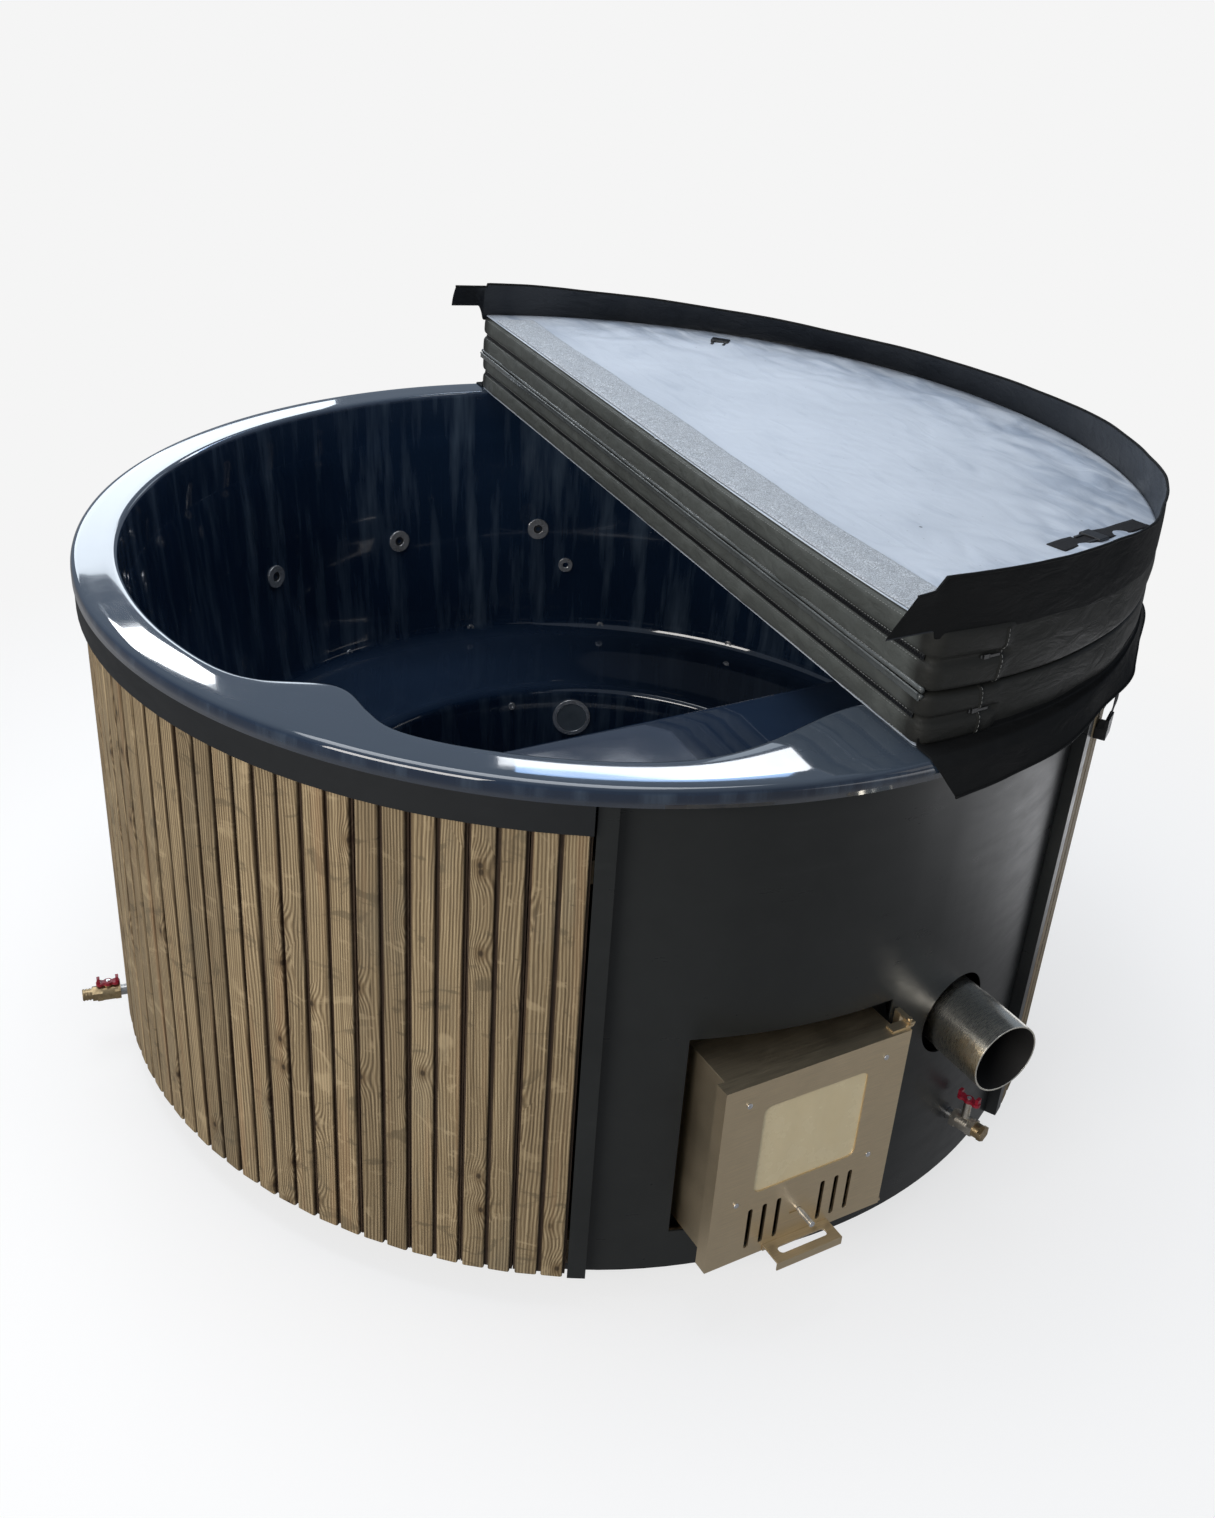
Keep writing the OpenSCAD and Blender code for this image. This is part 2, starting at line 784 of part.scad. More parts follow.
module stove_valve_body() {
    color("#b5ab98") on_stove_valve() valve_body(stove_up);
}

module stove_valve_ball() {
    color("silver") on_stove_valve() valve_ball(stove_up);
}

module stove_valve_handle() {
    color("firebrick") on_stove_valve() valve_handle(stove_up);
}

module stove_valve_plug() {
    x0 = valve_start + valve_l;
    color("#8d7d63") on_stove_valve() union() {
        rod_x(valve_r - 2, x0, x0 + 12);
        translate([x0 + 12, 0, 0]) rotate([0, 90, 0]) cylinder(r = valve_r, h = 8, $fn = 6);
    }
}

// ---- Fittings in the liner ----
module ring_fitting(r, body, bore, face) {
    difference() {
        union() {
            rod_x(r, -face - 5, -face);
            rod_x(body, -face - 1, 24);
        }
        rod_x(bore, -face - 6, 25);
    }
}

module jet_rings() {
    color("silver") for (a = jet_list) on_wall(a, jet_z)
        ring_fitting(jet_r, jet_body, jet_bore, seat(jet_r, wall_r(jet_z)));
}

module jet_nozzles() {
    color("#303438") for (a = jet_list) on_wall(a, jet_z) difference() {
        rod_x(jet_bore, -3, 18);
        rod_x(jet_bore / 2, -4, 19);
    }
}

module wall_port() {
    color("silver") on_wall(port_az, port_z) ring_fitting(port_r, port_body, 7, seat(port_r, wall_r(port_z)));
}

module nozzle(wall) {
    difference() {
        rod_x(nozzle_r, -4, -seat(nozzle_r, wall));
        rod_x(nozzle_r / 3, -5, -1);
    }
}

module air_nozzles() {
    color("silver") {
        for (i = [0:nozzle_n - 1]) on_wall(nozzle_first - i * nozzle_step, nozzle_z) nozzle(bench_r);
        on_riser(riser_nozzle_az, bench_z - 44) nozzle(foot_r - foot_draft);
    }
}

module lamp_ring() {
    face = seat(lamp_r, riser_r(lamp_z));
    color("silver") on_riser(lamp_az, lamp_z) difference() {
        union() {
            rod_x(lamp_r, -face - 5, -face);
            rod_x(lamp_body, -face - 1, 22);
        }
        rod_x(lamp_r - 10, -face - 6, 14);
    }
}

module lamp_lens() {
    color("aliceblue") on_riser(lamp_az, lamp_z) rod_x(lamp_r - 10, -seat(lamp_r, foot_r) - 3.5, 3);
}

// ---- Stove door ----
module round_rect(w, h, r) {
    square([w - 2 * r, h], center = true);
    square([w, h - 2 * r], center = true);
    for (x = [-1, 1]) for (y = [-1, 1]) translate([x * (w / 2 - r), y * (h / 2 - r)]) circle(r = r);
}

// Turns a plan drawn in x and z into a plate whose front lies at distance d
module door_plate(d, t) {
    translate([0, -d + t, 0]) rotate([90, 0, 0]) linear_extrude(t) children();
}

module air_slots() {
    for (s = [-1, 1]) for (i = [-1:1]) translate([door_x + s * slot_group / 2 + i * slot_pitch, knob_z])
        round_rect(slot_w, slot_h, slot_w / 2 - 0.2);
}

// Two ears on the door's top and bottom edges, each with a hole for a pivot pin
module door_ears() {
    for (z = [door_z - ear_t, door_top]) difference() {
        union() {
            bay_box(door_right - 34, hinge_x, hinge_d - 9, hinge_d + 9, z, z + ear_t);
            translate([hinge_x, -hinge_d, z]) cylinder(r = 9, h = ear_t);
        }
        translate([hinge_x, -hinge_d, z - eps]) cylinder(r = pin_r + run_fit, h = ear_t + 2 * eps);
    }
}

module door_panel() {
    color("#a3957d") door_ears();
    color("#a3957d") difference() {
        bay_box(door_left, door_right, door_d - door_fold, door_d, door_z, door_top);
        bay_box(door_left + door_t, door_right - door_t, door_d - door_fold - eps, door_d - door_t,
            door_z + door_t, door_top - door_t);
        door_plate(door_d + 5, 20) translate([door_x, window_z]) round_rect(window_w, window_h, 14);
        door_plate(door_d + 5, 20) air_slots();
        door_plate(door_d + 5, 20) translate([door_x - damper_travel / 2, knob_z])
            round_rect(damper_travel + 2 * knob_r + 2, 2 * knob_r + 1, knob_r);
        for (x = [-1, 1]) for (z = [-1, 1])
            bay_rod(door_x + x * screw_dx / 2, door_d - 10, door_d + 5, screw_z + z * screw_dz / 2,
                screw_hole);
    }
}

module door_glass() {
    color("#e6dcc0") door_plate(door_d - door_t, 4) translate([door_x, window_z])
        round_rect(window_w + 22, window_h + 20, 10);
}

module glass_clamp() {
    color("#8f846f") difference() {
        door_plate(door_d - door_t - 4, 2) translate([door_x, screw_z]) difference() {
            round_rect(screw_dx + 22, screw_dz + 16, 6);
            translate([0, window_z - screw_z]) round_rect(window_w - 6, window_h - 6, 10);
        }
        for (x = [-1, 1]) for (z = [-1, 1])
            bay_rod(door_x + x * screw_dx / 2, door_d - 20, door_d, screw_z + z * screw_dz / 2, screw_hole);
    }
}

module door_screws() {
    color("gainsboro") for (x = [-1, 1]) for (z = [-1, 1]) {
        bay_rod(door_x + x * screw_dx / 2, door_d, door_d + 2.4, screw_z + z * screw_dz / 2, 5);
        bay_rod(door_x + x * screw_dx / 2, door_d - 12, door_d, screw_z + z * screw_dz / 2, 2.5);
    }
}

module door_handle() {
    handle_w = 133;
    reach = 46;
    hz = door_z + 11;
    left = door_x - handle_w / 2;
    color("#b0a48c") difference() {
        union() {
            bay_box(left, left + handle_w, door_d, door_d + 3, door_z + 1, hz + 3);
            bay_box(left, left + handle_w, door_d, door_d + reach, hz, hz + 3);
            bay_box(left, left + handle_w, door_d + reach - 3, door_d + reach, hz - 14, hz + 3);
        }
        translate([door_x, -door_d - reach / 2, hz - eps]) linear_extrude(3 + 2 * eps)
            round_rect(handle_w - 36, 15, 7);
    }
}

// Two pairs of folded guides behind the door hold the damper plate
module damper_guides() {
    back = door_d - door_t;
    guide_w = 116;
    guide_h = 6;
    lip_h = 5;
    lip_d = back - damper_t - 2 * fit - 0.2;
    mid = damper_h / 2 + guide_gap;
    color("#8f846f") for (s = [-1, 1]) for (side = [-1, 1]) {
        x0 = door_x + s * slot_group / 2 - guide_w / 2;
        base = knob_z + side * mid;
        edge = base + side * guide_h;
        lip = base - side * lip_h;
        bay_box(x0, x0 + guide_w, lip_d, back, min(base, edge), max(base, edge));
        bay_box(x0, x0 + guide_w, lip_d - 1.5, lip_d, min(lip, edge), max(lip, edge));
    }
}

module damper_plate() {
    plate_w = slot_group + 2 * slot_pitch + slot_w + 24;
    color("#7d7361") door_plate(door_d - door_t - fit, damper_t) difference() {
        translate([door_x, knob_z]) square([plate_w, damper_h], center = true);
        air_slots();
    }
}

module damper_knob() {
    color("silver") {
        bay_rod(door_x, door_d - door_t - fit, door_d + 8, knob_z, knob_r);
        bay_rod(door_x, door_d + 8, door_d + 40, knob_z, knob_r + 1.5);
    }
}

// ---- Cover, drawn with its fold line along Y and both panels towards +X ----
module in_cover() {
    rotate([0, 0, cover_turn]) translate([fold_x, 0, 0]) children();
}

// Side view of a panel: flat below, sloping above, two padded rolls and a welt at the fold
module panel_side() {
    low = lining_t;
    top = panel_thick - panel_gap;
    reach = panel_r + 40;
    polygon([[face_x, low], [reach, low], [reach, top - panel_slope * reach], [face_x, top]]);
    for (z = [low + roll_r, top - roll_r - 2]) translate([roll_r + face_gap, z]) circle(r = roll_r);
    translate([welt_r + face_gap, top - welt_r - 0.2]) circle(r = welt_r);
}

module panel_blank() {
    intersection() {
        difference() {
            translate([0, far, 0]) rotate([90, 0, 0]) linear_extrude(2 * far) panel_side();
            translate([-far + hinge_strip_x, -far, panel_thick - hinge_strip_h])
                cube([far, 2 * far, 2 * hinge_strip_h]);
        }
        cylinder(r = panel_r, h = panel_thick);
    }
}

// Places a piece drawn for the lower half
module in_lower() {
    in_cover() translate([0, 0, cover_z]) children();
}

// Folds a piece drawn for the lower half over onto the lower half
module in_upper() {
    in_cover() translate([0, 0, fold_z]) rotate([0, fold_tilt, 0]) mirror([0, 0, 1])
        translate([0, 0, -panel_thick]) children();
}

module lining() {
    intersection() {
        cylinder(r = panel_r - 1, h = lining_t);
        translate([face_x, -far, -eps]) cube([far, 2 * far, 2 * lining_t]);
    }
}

module zip_tape() {
    half = sqrt(pow(panel_r - 20, 2) - pow(face_x, 2));
    translate([face_x - zip_t, -half, zip_z - zip_h / 2]) cube([zip_t, 2 * half, zip_h]);
}

module lower_panel() {
    color("#3f4240") in_lower() panel_blank();
}

module lower_lining() {
    color("#c3ccda") in_lower() lining();
}

module lower_zip() {
    color("#1d1f1f") in_lower() zip_tape();
}

module upper_panel() {
    color("#3f4240") in_upper() panel_blank();
}

module upper_lining() {
    color("#c3ccda") in_upper() lining();
}

module upper_zip() {
    color("#1d1f1f") in_upper() zip_tape();
}

// Soft strip that seals the fold when the cover lies flat
module fleece_strip() {
    half = mouth_r - 40;
    color("#8f979f") in_upper() translate([face_x + 3, -half, -fleece_t])
        cube([fleece_w, 2 * half, fleece_t]);
}

module hinge_strip() {
    half = panel_r - 6;
    color("#1f2120") in_cover() translate([0, 0, fold_z]) {
        translate([0, half, 0]) rotate([90, 0, 0]) cylinder(r = 2, h = 2 * half);
        translate([-0.6, -half, -hinge_strip_h]) cube([hinge_strip_x + 0.6, 2 * half, hinge_strip_h]);
    }
}

// Distance from the cover's centre to the outside of the rim in direction a
function rim_reach(a) = -fold_x * cos(a) + sqrt(pow(rim_r + rim_clear, 2) - pow(fold_x * sin(a), 2));
function skirt_wave(a) = 3 * (1 + sin(a * 2 * skirt_folds));
// Inner side of a skirt's section, from the panel's edge to the hem: [radius, height]
function over_rim(a) = let (p = panel_r + fit, o = max(rim_reach(a), p + 6)) [
    [p, 16], [p, 2.4], [p + (o - p) * 0.75, 2.2], [o, -6 - 0.1 * (o - p)],
    [o + 2 + skirt_wave(a) * 0.4, hem(a) * 0.55], [o + 5 + skirt_wave(a), hem(a)]];
// Height of the lower skirt's hem, lowest at both ends
function hem(a) = hem_drop - skirt_l + hem_rise * (1 - exp(-pow((90 - abs(a)) / hem_spread, 2)));
function lean(a) = stand_lean * exp(-pow((a - lean_az) / lean_spread, 2));
function standing(a) = let (p = panel_r + fit, w = skirt_wave(a) / 2, l = lean(a),
    h = sqrt(stand_h * stand_h - l * l)) [[p, 16], [p, 1], [p - l * 0.12 + w * 0.2, -h * 0.25],
    [p - l * 0.36 + w * 0.5, -h * 0.5], [p - l * 0.66 + w * 0.8, -h * 0.75], [p - l + w, -h]];
function side_step(s, i) = s[min(i + 1, len(s) - 1)] - s[max(i - 1, 0)];
function thick_section(s) = let (n = len(s)) concat(s, [for (k = [0:n - 1])
    let (i = n - 1 - k, d = side_step(s, i)) s[i] + skirt_t * [-d[1], d[0]] / norm(d)]);
function ring_at(u, cut, s) = [for (p = s) let (hem_z = min([for (q = s) q[1]]),
    a = u * (skirt_end - cut * max(0, p[1] / hem_z))) [p[0] * cos(a), p[0] * sin(a), p[1]]];

// Cloth swept through its rings, with both ends closed
module cloth(rings) {
    n = len(rings);
    m = len(rings[0]);
    h = m / 2;
    last = (n - 1) * m;
    sides = [for (i = [0:n - 2]) for (j = [0:m - 1]) let (k = (j + 1) % m)
        each [[i * m + j, (i + 1) * m + k, (i + 1) * m + j], [i * m + j, i * m + k, (i + 1) * m + k]]];
    ends = [for (j = [0:h - 2]) let (k = m - 1 - j)
        each [[j, k - 1, j + 1], [j, k, k - 1], [last + j, last + j + 1, last + k - 1],
            [last + j, last + k - 1, last + k]]];
    polyhedron(points = [for (r = rings) each r], faces = concat(sides, ends), convexity = 6);
}

module lower_skirt() {
    color("#262827") in_lower() cloth([for (i = [-skirt_n:skirt_n]) let (u = i / skirt_n)
        ring_at(u, lower_cut, thick_section(over_rim(u * skirt_end)))]);
}

module upper_skirt() {
    color("#262827") in_upper() cloth([for (i = [-skirt_n:skirt_n]) let (u = i / skirt_n)
        ring_at(u, upper_cut, thick_section(standing(u * skirt_end)))]);
}

// Straps hang from the lower half and clip into sockets on the wall
module lower_straps() {
    color("#1d1e1e") for (a = strap_dirs) out_at(a, strap_d, 0)
        translate([0, -strap_w / 2, socket_z + 24]) cube([strap_t, strap_w, cover_z - 12 - socket_z - 24]);
}

module strap_plugs() {
    color("#101111") for (a = strap_dirs) out_at(a, strap_d, socket_z) {
        translate([-2, -strap_w / 2 - 2, 21]) difference() {
            cube([7, strap_w + 4, 18]);
            translate([2, 2 - fit, -eps]) cube([strap_t, strap_w + 2 * fit, 18 + 2 * eps]);
        }
        for (y = [-strap_w / 2 + 4, strap_w / 2 - 10]) translate([-2, y, 6]) cube([3, 6, 15]);
    }
}

module strap_sockets() {
    wall = board_r + 0.2;
    color("#151616") for (a = strap_dirs) out_at(a, 0, socket_z) difference() {
        translate([wall, -strap_w / 2 - 2, 0]) cube([strap_d + 5 - wall, strap_w + 4, 20]);
        translate([strap_d - 2.6, -strap_w / 2 + 3, 5]) cube([4.2, strap_w - 6, 20]);
    }
}

// Straps of the upper half lie loose on its lining
module on_upper_lining(k) {
    spot = strap_spots[k];
    in_upper() rotate([0, 0, spot[0]]) translate([panel_r - spot[1], 0, 0]) rotate([0, 0, spot[2] - spot[0]])
        children();
}

module upper_straps() {
    color("#1d1e1e") for (k = [0, 1]) on_upper_lining(k) translate([0, -strap_w / 2, -strap_t])
        cube([strap_lengths[k], strap_w, strap_t]);
}

module upper_plugs() {
    color("#101111") for (k = [0, 1]) on_upper_lining(k) translate([strap_lengths[k] * 0.45, 0, 0]) {
        translate([-22, -strap_w / 2 - 2, -strap_t - 8]) cube([30, strap_w + 4, 8]);
        for (y = [-strap_w / 2 + 2, strap_w / 2 - 8]) translate([-46, y, -strap_t - 6]) cube([24, 6, 4]);
    }
}

plinth_ring();
base_joists();
base_deck();
liner();
foam_jacket();
wall_studs();
wall_battens();
cladding_boards();
top_band();
front_sheet();
bay_trims();
stove_jacket();
firebox();
fire_grate();
door_neck();
neck_gasket();
flue_pipe();
hinge_post();
water_pipes();
water_port_rings();
drain_pipes();
drain_sieve();
drain_valve_body();
drain_valve_ball();
drain_valve_handle();
drain_hose_tail();
stove_valve_body();
stove_valve_ball();
stove_valve_handle();
stove_valve_plug();
jet_rings();
jet_nozzles();
wall_port();
air_nozzles();
lamp_ring();
lamp_lens();
strap_sockets();
door_panel();
door_glass();
glass_clamp();
door_screws();
door_handle();
damper_guides();
damper_plate();
damper_knob();
lower_panel();
lower_lining();
lower_zip();
lower_skirt();
hinge_strip();
lower_straps();
strap_plugs();
upper_panel();
upper_lining();
upper_zip();
fleece_strip();
upper_skirt();
upper_straps();
upper_plugs();
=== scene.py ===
"""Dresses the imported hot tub: procedural materials, moulded and sewn surfaces, light and camera."""

import json
import math
import bpy
import numpy as np
from mathutils.bvhtree import BVHTree
from mathutils import Matrix, Vector, noise

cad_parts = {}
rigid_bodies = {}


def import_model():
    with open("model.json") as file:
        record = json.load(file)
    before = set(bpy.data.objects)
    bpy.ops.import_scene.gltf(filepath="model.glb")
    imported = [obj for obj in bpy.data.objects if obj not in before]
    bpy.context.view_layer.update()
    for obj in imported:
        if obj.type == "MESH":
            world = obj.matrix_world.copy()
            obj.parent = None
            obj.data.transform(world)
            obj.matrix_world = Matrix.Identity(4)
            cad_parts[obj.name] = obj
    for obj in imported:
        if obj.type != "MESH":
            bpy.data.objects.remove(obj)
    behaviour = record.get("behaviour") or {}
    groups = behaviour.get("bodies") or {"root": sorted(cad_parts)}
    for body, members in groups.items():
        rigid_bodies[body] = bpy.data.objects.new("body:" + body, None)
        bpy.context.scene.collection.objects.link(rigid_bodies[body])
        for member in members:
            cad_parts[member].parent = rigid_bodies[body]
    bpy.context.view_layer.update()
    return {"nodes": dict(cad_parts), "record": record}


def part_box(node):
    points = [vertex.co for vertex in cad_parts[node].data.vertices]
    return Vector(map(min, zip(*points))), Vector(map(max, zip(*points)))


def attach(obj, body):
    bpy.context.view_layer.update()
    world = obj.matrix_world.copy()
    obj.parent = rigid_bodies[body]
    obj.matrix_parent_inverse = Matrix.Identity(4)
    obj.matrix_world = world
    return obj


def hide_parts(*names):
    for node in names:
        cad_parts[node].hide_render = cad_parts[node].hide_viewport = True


for o in list(bpy.data.objects):
    bpy.data.objects.remove(o)
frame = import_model()
NODES = frame["nodes"]
MM = 0.001

# Sizes that part.scad also uses, in metres
RIM_R, RIM_TOP, MOUTH_R = 0.985, 1.047, 0.910
BENCH_R, BENCH_Z, FOOT_R, FOOT_DRAFT, FLOOR_Z = 0.850, 0.425, 0.550, 0.030, 0.098
STEP_D, STEP_Z = 0.540, 0.947
BOARD_N, BOARD_IN, BOARD_R, BAY_HALF = 56, 0.947, 0.971, 30.2
COVER_TURN, FOLD_X, PANEL_R, THICK, THIN = -5.5, 0.077, 0.935, 0.087, 0.066
COVER_Z = RIM_TOP + 0.0005
FOLD_Z = COVER_Z + THICK
SLOPE = (THICK - THIN) / PANEL_R


# ---------- Materials ----------
# Texture scales are in waves or cells per metre, bump distances in metres, roughness from 0 to 1
class Graph:
    """A small helper for building one node tree; a value may be a constant or another node's output."""

    def __init__(self, owner, output="ShaderNodeOutputMaterial"):
        owner.use_nodes = True
        self.owner = owner
        self.tree = owner.node_tree
        self.tree.nodes.clear()
        self.out = self.tree.nodes.new(output)

    def put(self, value, socket):
        if isinstance(value, bpy.types.NodeSocket):
            self.tree.links.new(value, socket)
        elif value is not None:
            if socket.type == "RGBA" and len(value) == 3:
                value = (*value, 1)
            socket.default_value = value

    def finish(self, surface):
        self.tree.links.new(surface, self.out.inputs[0])

    def node(self, kind, out=0, props=(), **inputs):
        """A node with its inputs set by name."""
        n = self.tree.nodes.new(kind)
        for key, value in dict(props).items():
            setattr(n, key, value)
        for key, value in inputs.items():
            self.put(value, n.inputs[key.replace("_", " ")])
        return n.outputs[out]

    def chain(self, kind, *values, out=0, **props):
        """A node with its first inputs set in order."""
        n = self.tree.nodes.new(kind)
        for key, value in props.items():
            setattr(n, key, value)
        for value, socket in zip(values, n.inputs):
            self.put(value, socket)
        return n.outputs[out]

    def place(self):
        return self.node("ShaderNodeTexCoord", "Object")

    def normal(self):
        return self.node("ShaderNodeNewGeometry", "Normal")

    def ray(self, kind):
        return self.node("ShaderNodeLightPath", kind)

    def scaled(self, vector, scale, turn=(0, 0, 0)):
        return self.node("ShaderNodeMapping", Vector=vector, Scale=scale, Rotation=turn)

    def noise(self, vector, scale, detail=3, rough=0.5, bend=0.0):
        return self.node("ShaderNodeTexNoise", Vector=vector, Scale=scale, Detail=detail, Roughness=rough,
                         Distortion=bend)

    def cells(self, vector, scale):
        """Distance to the nearest cell's middle."""
        return self.node("ShaderNodeTexVoronoi", "Distance", Vector=vector, Scale=scale)

    def wave(self, vector, scale, bend, detail, direction):
        return self.node("ShaderNodeTexWave", 1, {"bands_direction": direction}, Vector=vector, Scale=scale,
                         Distortion=bend, Detail=detail)

    def ramp(self, value, *stops):
        n = self.tree.nodes.new("ShaderNodeValToRGB")
        elements = n.color_ramp.elements
        while len(elements) < len(stops):
            elements.new(0.5)
        for e, (at, colour) in zip(elements, stops):
            e.position = at
            e.color = (*colour, 1)
        self.put(value, n.inputs[0])
        return n.outputs[0]

    def mix(self, share, a, b):
        n = self.tree.nodes.new("ShaderNodeMix")
        n.data_type = "RGBA"
        for value, index in ((share, 0), (a, 6), (b, 7)):
            self.put(value, n.inputs[index])
        return n.outputs[2]

    def math(self, what, a, b=None):
        return self.chain("ShaderNodeMath", a, b, operation=what)

    def add(self, a, b):
        return self.math("ADD", a, b)

    def times(self, a, b):
        return self.math("MULTIPLY", a, b)

    def range(self, value, low, high, to_low, to_high):
        return self.node("ShaderNodeMapRange", Value=value, From_Min=low, From_Max=high, To_Min=to_low,
                         To_Max=to_high)

    def attribute(self, name, out="Fac"):
        return self.node("ShaderNodeAttribute", out, {"attribute_name": name})

    def split(self, vector, axis):
        return self.node("ShaderNodeSeparateXYZ", axis, Vector=vector)

    def reach(self, vector):
        """Distance of a point from the tub's axis."""
        return self.chain("ShaderNodeVectorMath", self.scaled(vector, (1, 1, 0)), out=1, operation="LENGTH")

    def bump(self, height, distance, strength=1.0, normal=None):
        return self.node("ShaderNodeBump", Strength=strength, Distance=distance, Height=height, Normal=normal)


class Surface(Graph):
    """A material with one principled shader."""

    def __init__(self, name):
        super().__init__(bpy.data.materials.new(name))

    def set(self, **inputs):
        self.finish(self.node("ShaderNodeBsdfPrincipled", **inputs))
        return self.owner


def tint(colour, gain, lift=0.0):
    """A lighter or darker colour of the same hue."""
    return tuple(min(1, c * gain + lift) for c in colour)


def material_plain(name, colour, rough, scale=60, spread=0.12, grain=0.0002, coat=0.0):
    """A solid material with slight colour drift, worn gloss and fine grain."""
    g = Surface(name)
    p = g.place()
    drift = g.noise(p, scale * 0.12, 4)
    fine = g.noise(p, scale * 8, 3)
    wear = g.noise(p, scale, 4)
    base = g.ramp(drift, (0.3, tint(colour, 1 - spread)), (0.7, tint(colour, 1 + spread)))
    return g.set(Base_Color=base, Roughness=g.range(wear, 0.3, 0.7, rough - 0.05, rough + 0.05),
                 Normal=g.bump(fine, grain, 0.4), Coat_Weight=coat)


def material_vinyl(name, colour, rough, grain, gloss, dust, band=0.0):
    """Coated fabric: fine pebbled grain, faint weave below it, soft folds, dust and rubbed patches.

    The last value paints shade: it darkens the colour of what lies beyond the rim's mouth, the curved side of
    the cover."""
    g = Surface(name)
    p = g.place()
    pebble = g.cells(p, 620)
    weave = g.noise(p, 240, 2)
    dirt = g.noise(p, 6, 5, 0.65)
    rub = g.noise(p, 23, 4, 0.6)
    light = tint(colour, 1.9, 0.012)
    base = g.ramp(dirt, (0.38, colour), (0.62, tint(colour, 1.18)))
    base = g.mix(g.range(rub, 0.52, 0.8, 0, dust), base, light)
    # Painted shade: the curved side of the cover gets a near-black colour
    if band:
        base = g.mix(g.range(g.reach(p), 0.885, 0.915, 0, band), base, (0.016, 0.015, 0.013))
    height = g.add(g.times(pebble, 0.7), g.times(weave, 0.5))
    fold = g.noise(g.scaled(p, (13, 22, 34), turn=(0.5, 0, 0.3)), 1.0, 4, 0.55, 0.8)
    normal = g.bump(rub, 0.0022, 0.35, g.bump(height, grain, 0.6, g.bump(fold, 0.006, 0.6)))
    return g.set(Base_Color=base, Roughness=g.range(dirt, 0.35, 0.7, rough - 0.06, rough + 0.10),
                 Normal=normal, Specular_IOR_Level=gloss)


def material_lining(name):
    """Pale blue-grey coated sheet with fine wrinkles, a faint colour drift and a few dark specks; painted
    shade darkens its creases and, broken up by them, its outer edge.
    """
    g = Surface(name)
    p = g.place()
    drift = g.noise(p, 1.6, 4, 0.55)
    crease = g.noise(g.scaled(p, (16, 5, 9), turn=(0, 0, 0.6)), 1.0, 5, 0.62, 0.9)
    fine = g.noise(p, 170, 3)
    spot = g.cells(p, 9)
    speck = g.cells(g.scaled(p, (31, 27, 29)), 1.0)
    base = g.ramp(drift, (0.3, (0.49, 0.53, 0.585)), (0.72, (0.64, 0.68, 0.735)))
    # Painted shade: the colour darkens along the creases
    base = g.mix(g.range(crease, 0.55, 0.75, 0, 0.28), base, (0.27, 0.32, 0.39))
    # Painted shade along the outer edge, broken up by the creases
    edge_shade = g.times(g.range(g.reach(p), 0.72, 0.92, 0, 1), g.range(crease, 0.40, 0.60, 0.15, 1))
    base = g.mix(g.times(edge_shade, 0.55), base, (0.17, 0.225, 0.31))
    base = g.mix(g.range(spot, 0.020, 0.034, 0.9, 0), base, (0.03, 0.03, 0.03))
    base = g.mix(g.range(speck, 0.03, 0.06, 0.35, 0), base, (0.12, 0.13, 0.14))
    normal = g.bump(crease, 0.004, 0.45, g.bump(fine, 0.0003, 0.3))
    return g.set(Base_Color=base, Roughness=g.range(drift, 0.3, 0.7, 0.42, 0.58), Normal=normal,
                 Specular_IOR_Level=0.35)


def material_fleece(name):
    """Short brushed pile, speckled grey."""
    g = Surface(name)
    p = g.place()
    pile = g.noise(p, 420, 4, 0.8)
    clump = g.noise(p, 70, 3, 0.7)
    base = g.ramp(pile, (0.36, (0.17, 0.18, 0.19)), (0.5, (0.44, 0.47, 0.50)), (0.66, (0.90, 0.94, 0.98)))
    base = g.mix(g.range(clump, 0.45, 0.75, 0, 0.4), base, (0.20, 0.21, 0.23))
    return g.set(Base_Color=base, Roughness=0.95, Normal=g.bump(pile, 0.0016, 1.0), Sheen_Weight=0.3,
                 Specular_IOR_Level=0.15)


def material_web(name, colour, pitch):
    """Woven tape: ribs both ways over a dark thread."""
    g = Surface(name)
    p = g.place()
    rib = g.wave(p, 0.5 / pitch / 3.14, 0.6, 1, "DIAGONAL")
    hair = g.noise(p, 900, 2)
    light = tint(colour, 2.2, 0.01)
    return g.set(Base_Color=g.mix(g.range(rib, 0.2, 0.8, 0, 0.5), colour, light), Roughness=0.78,
                 Normal=g.bump(g.add(rib, hair), 0.0005, 0.8), Specular_IOR_Level=0.25)


def material_powder(name, colour, rough, gloss, orange=0.00012):
    """Powder coat: fine orange peel, light dust and handling marks."""
    g = Surface(name)
    p = g.place()
    peel = g.noise(p, 420, 3, 0.6)
    dust = g.noise(p, 3.2, 5, 0.65)
    mark = g.noise(g.scaled(p, (9, 9, 34)), 1.0, 5, 0.7)
    base = g.ramp(dust, (0.35, colour), (0.7, tint(colour, 1.35, 0.002)))
    base = g.mix(g.range(mark, 0.62, 0.8, 0, 0.22), base, tint(colour, 2.2, 0.01))
    wave = g.noise(p, 2.1, 2)
    normal = g.bump(wave, 0.006, 0.10, g.bump(peel, orange, 0.5))
    return g.set(Base_Color=base, Roughness=g.range(mark, 0.3, 0.75, rough - 0.07, rough + 0.09),
                 Normal=normal, Specular_IOR_Level=gloss)


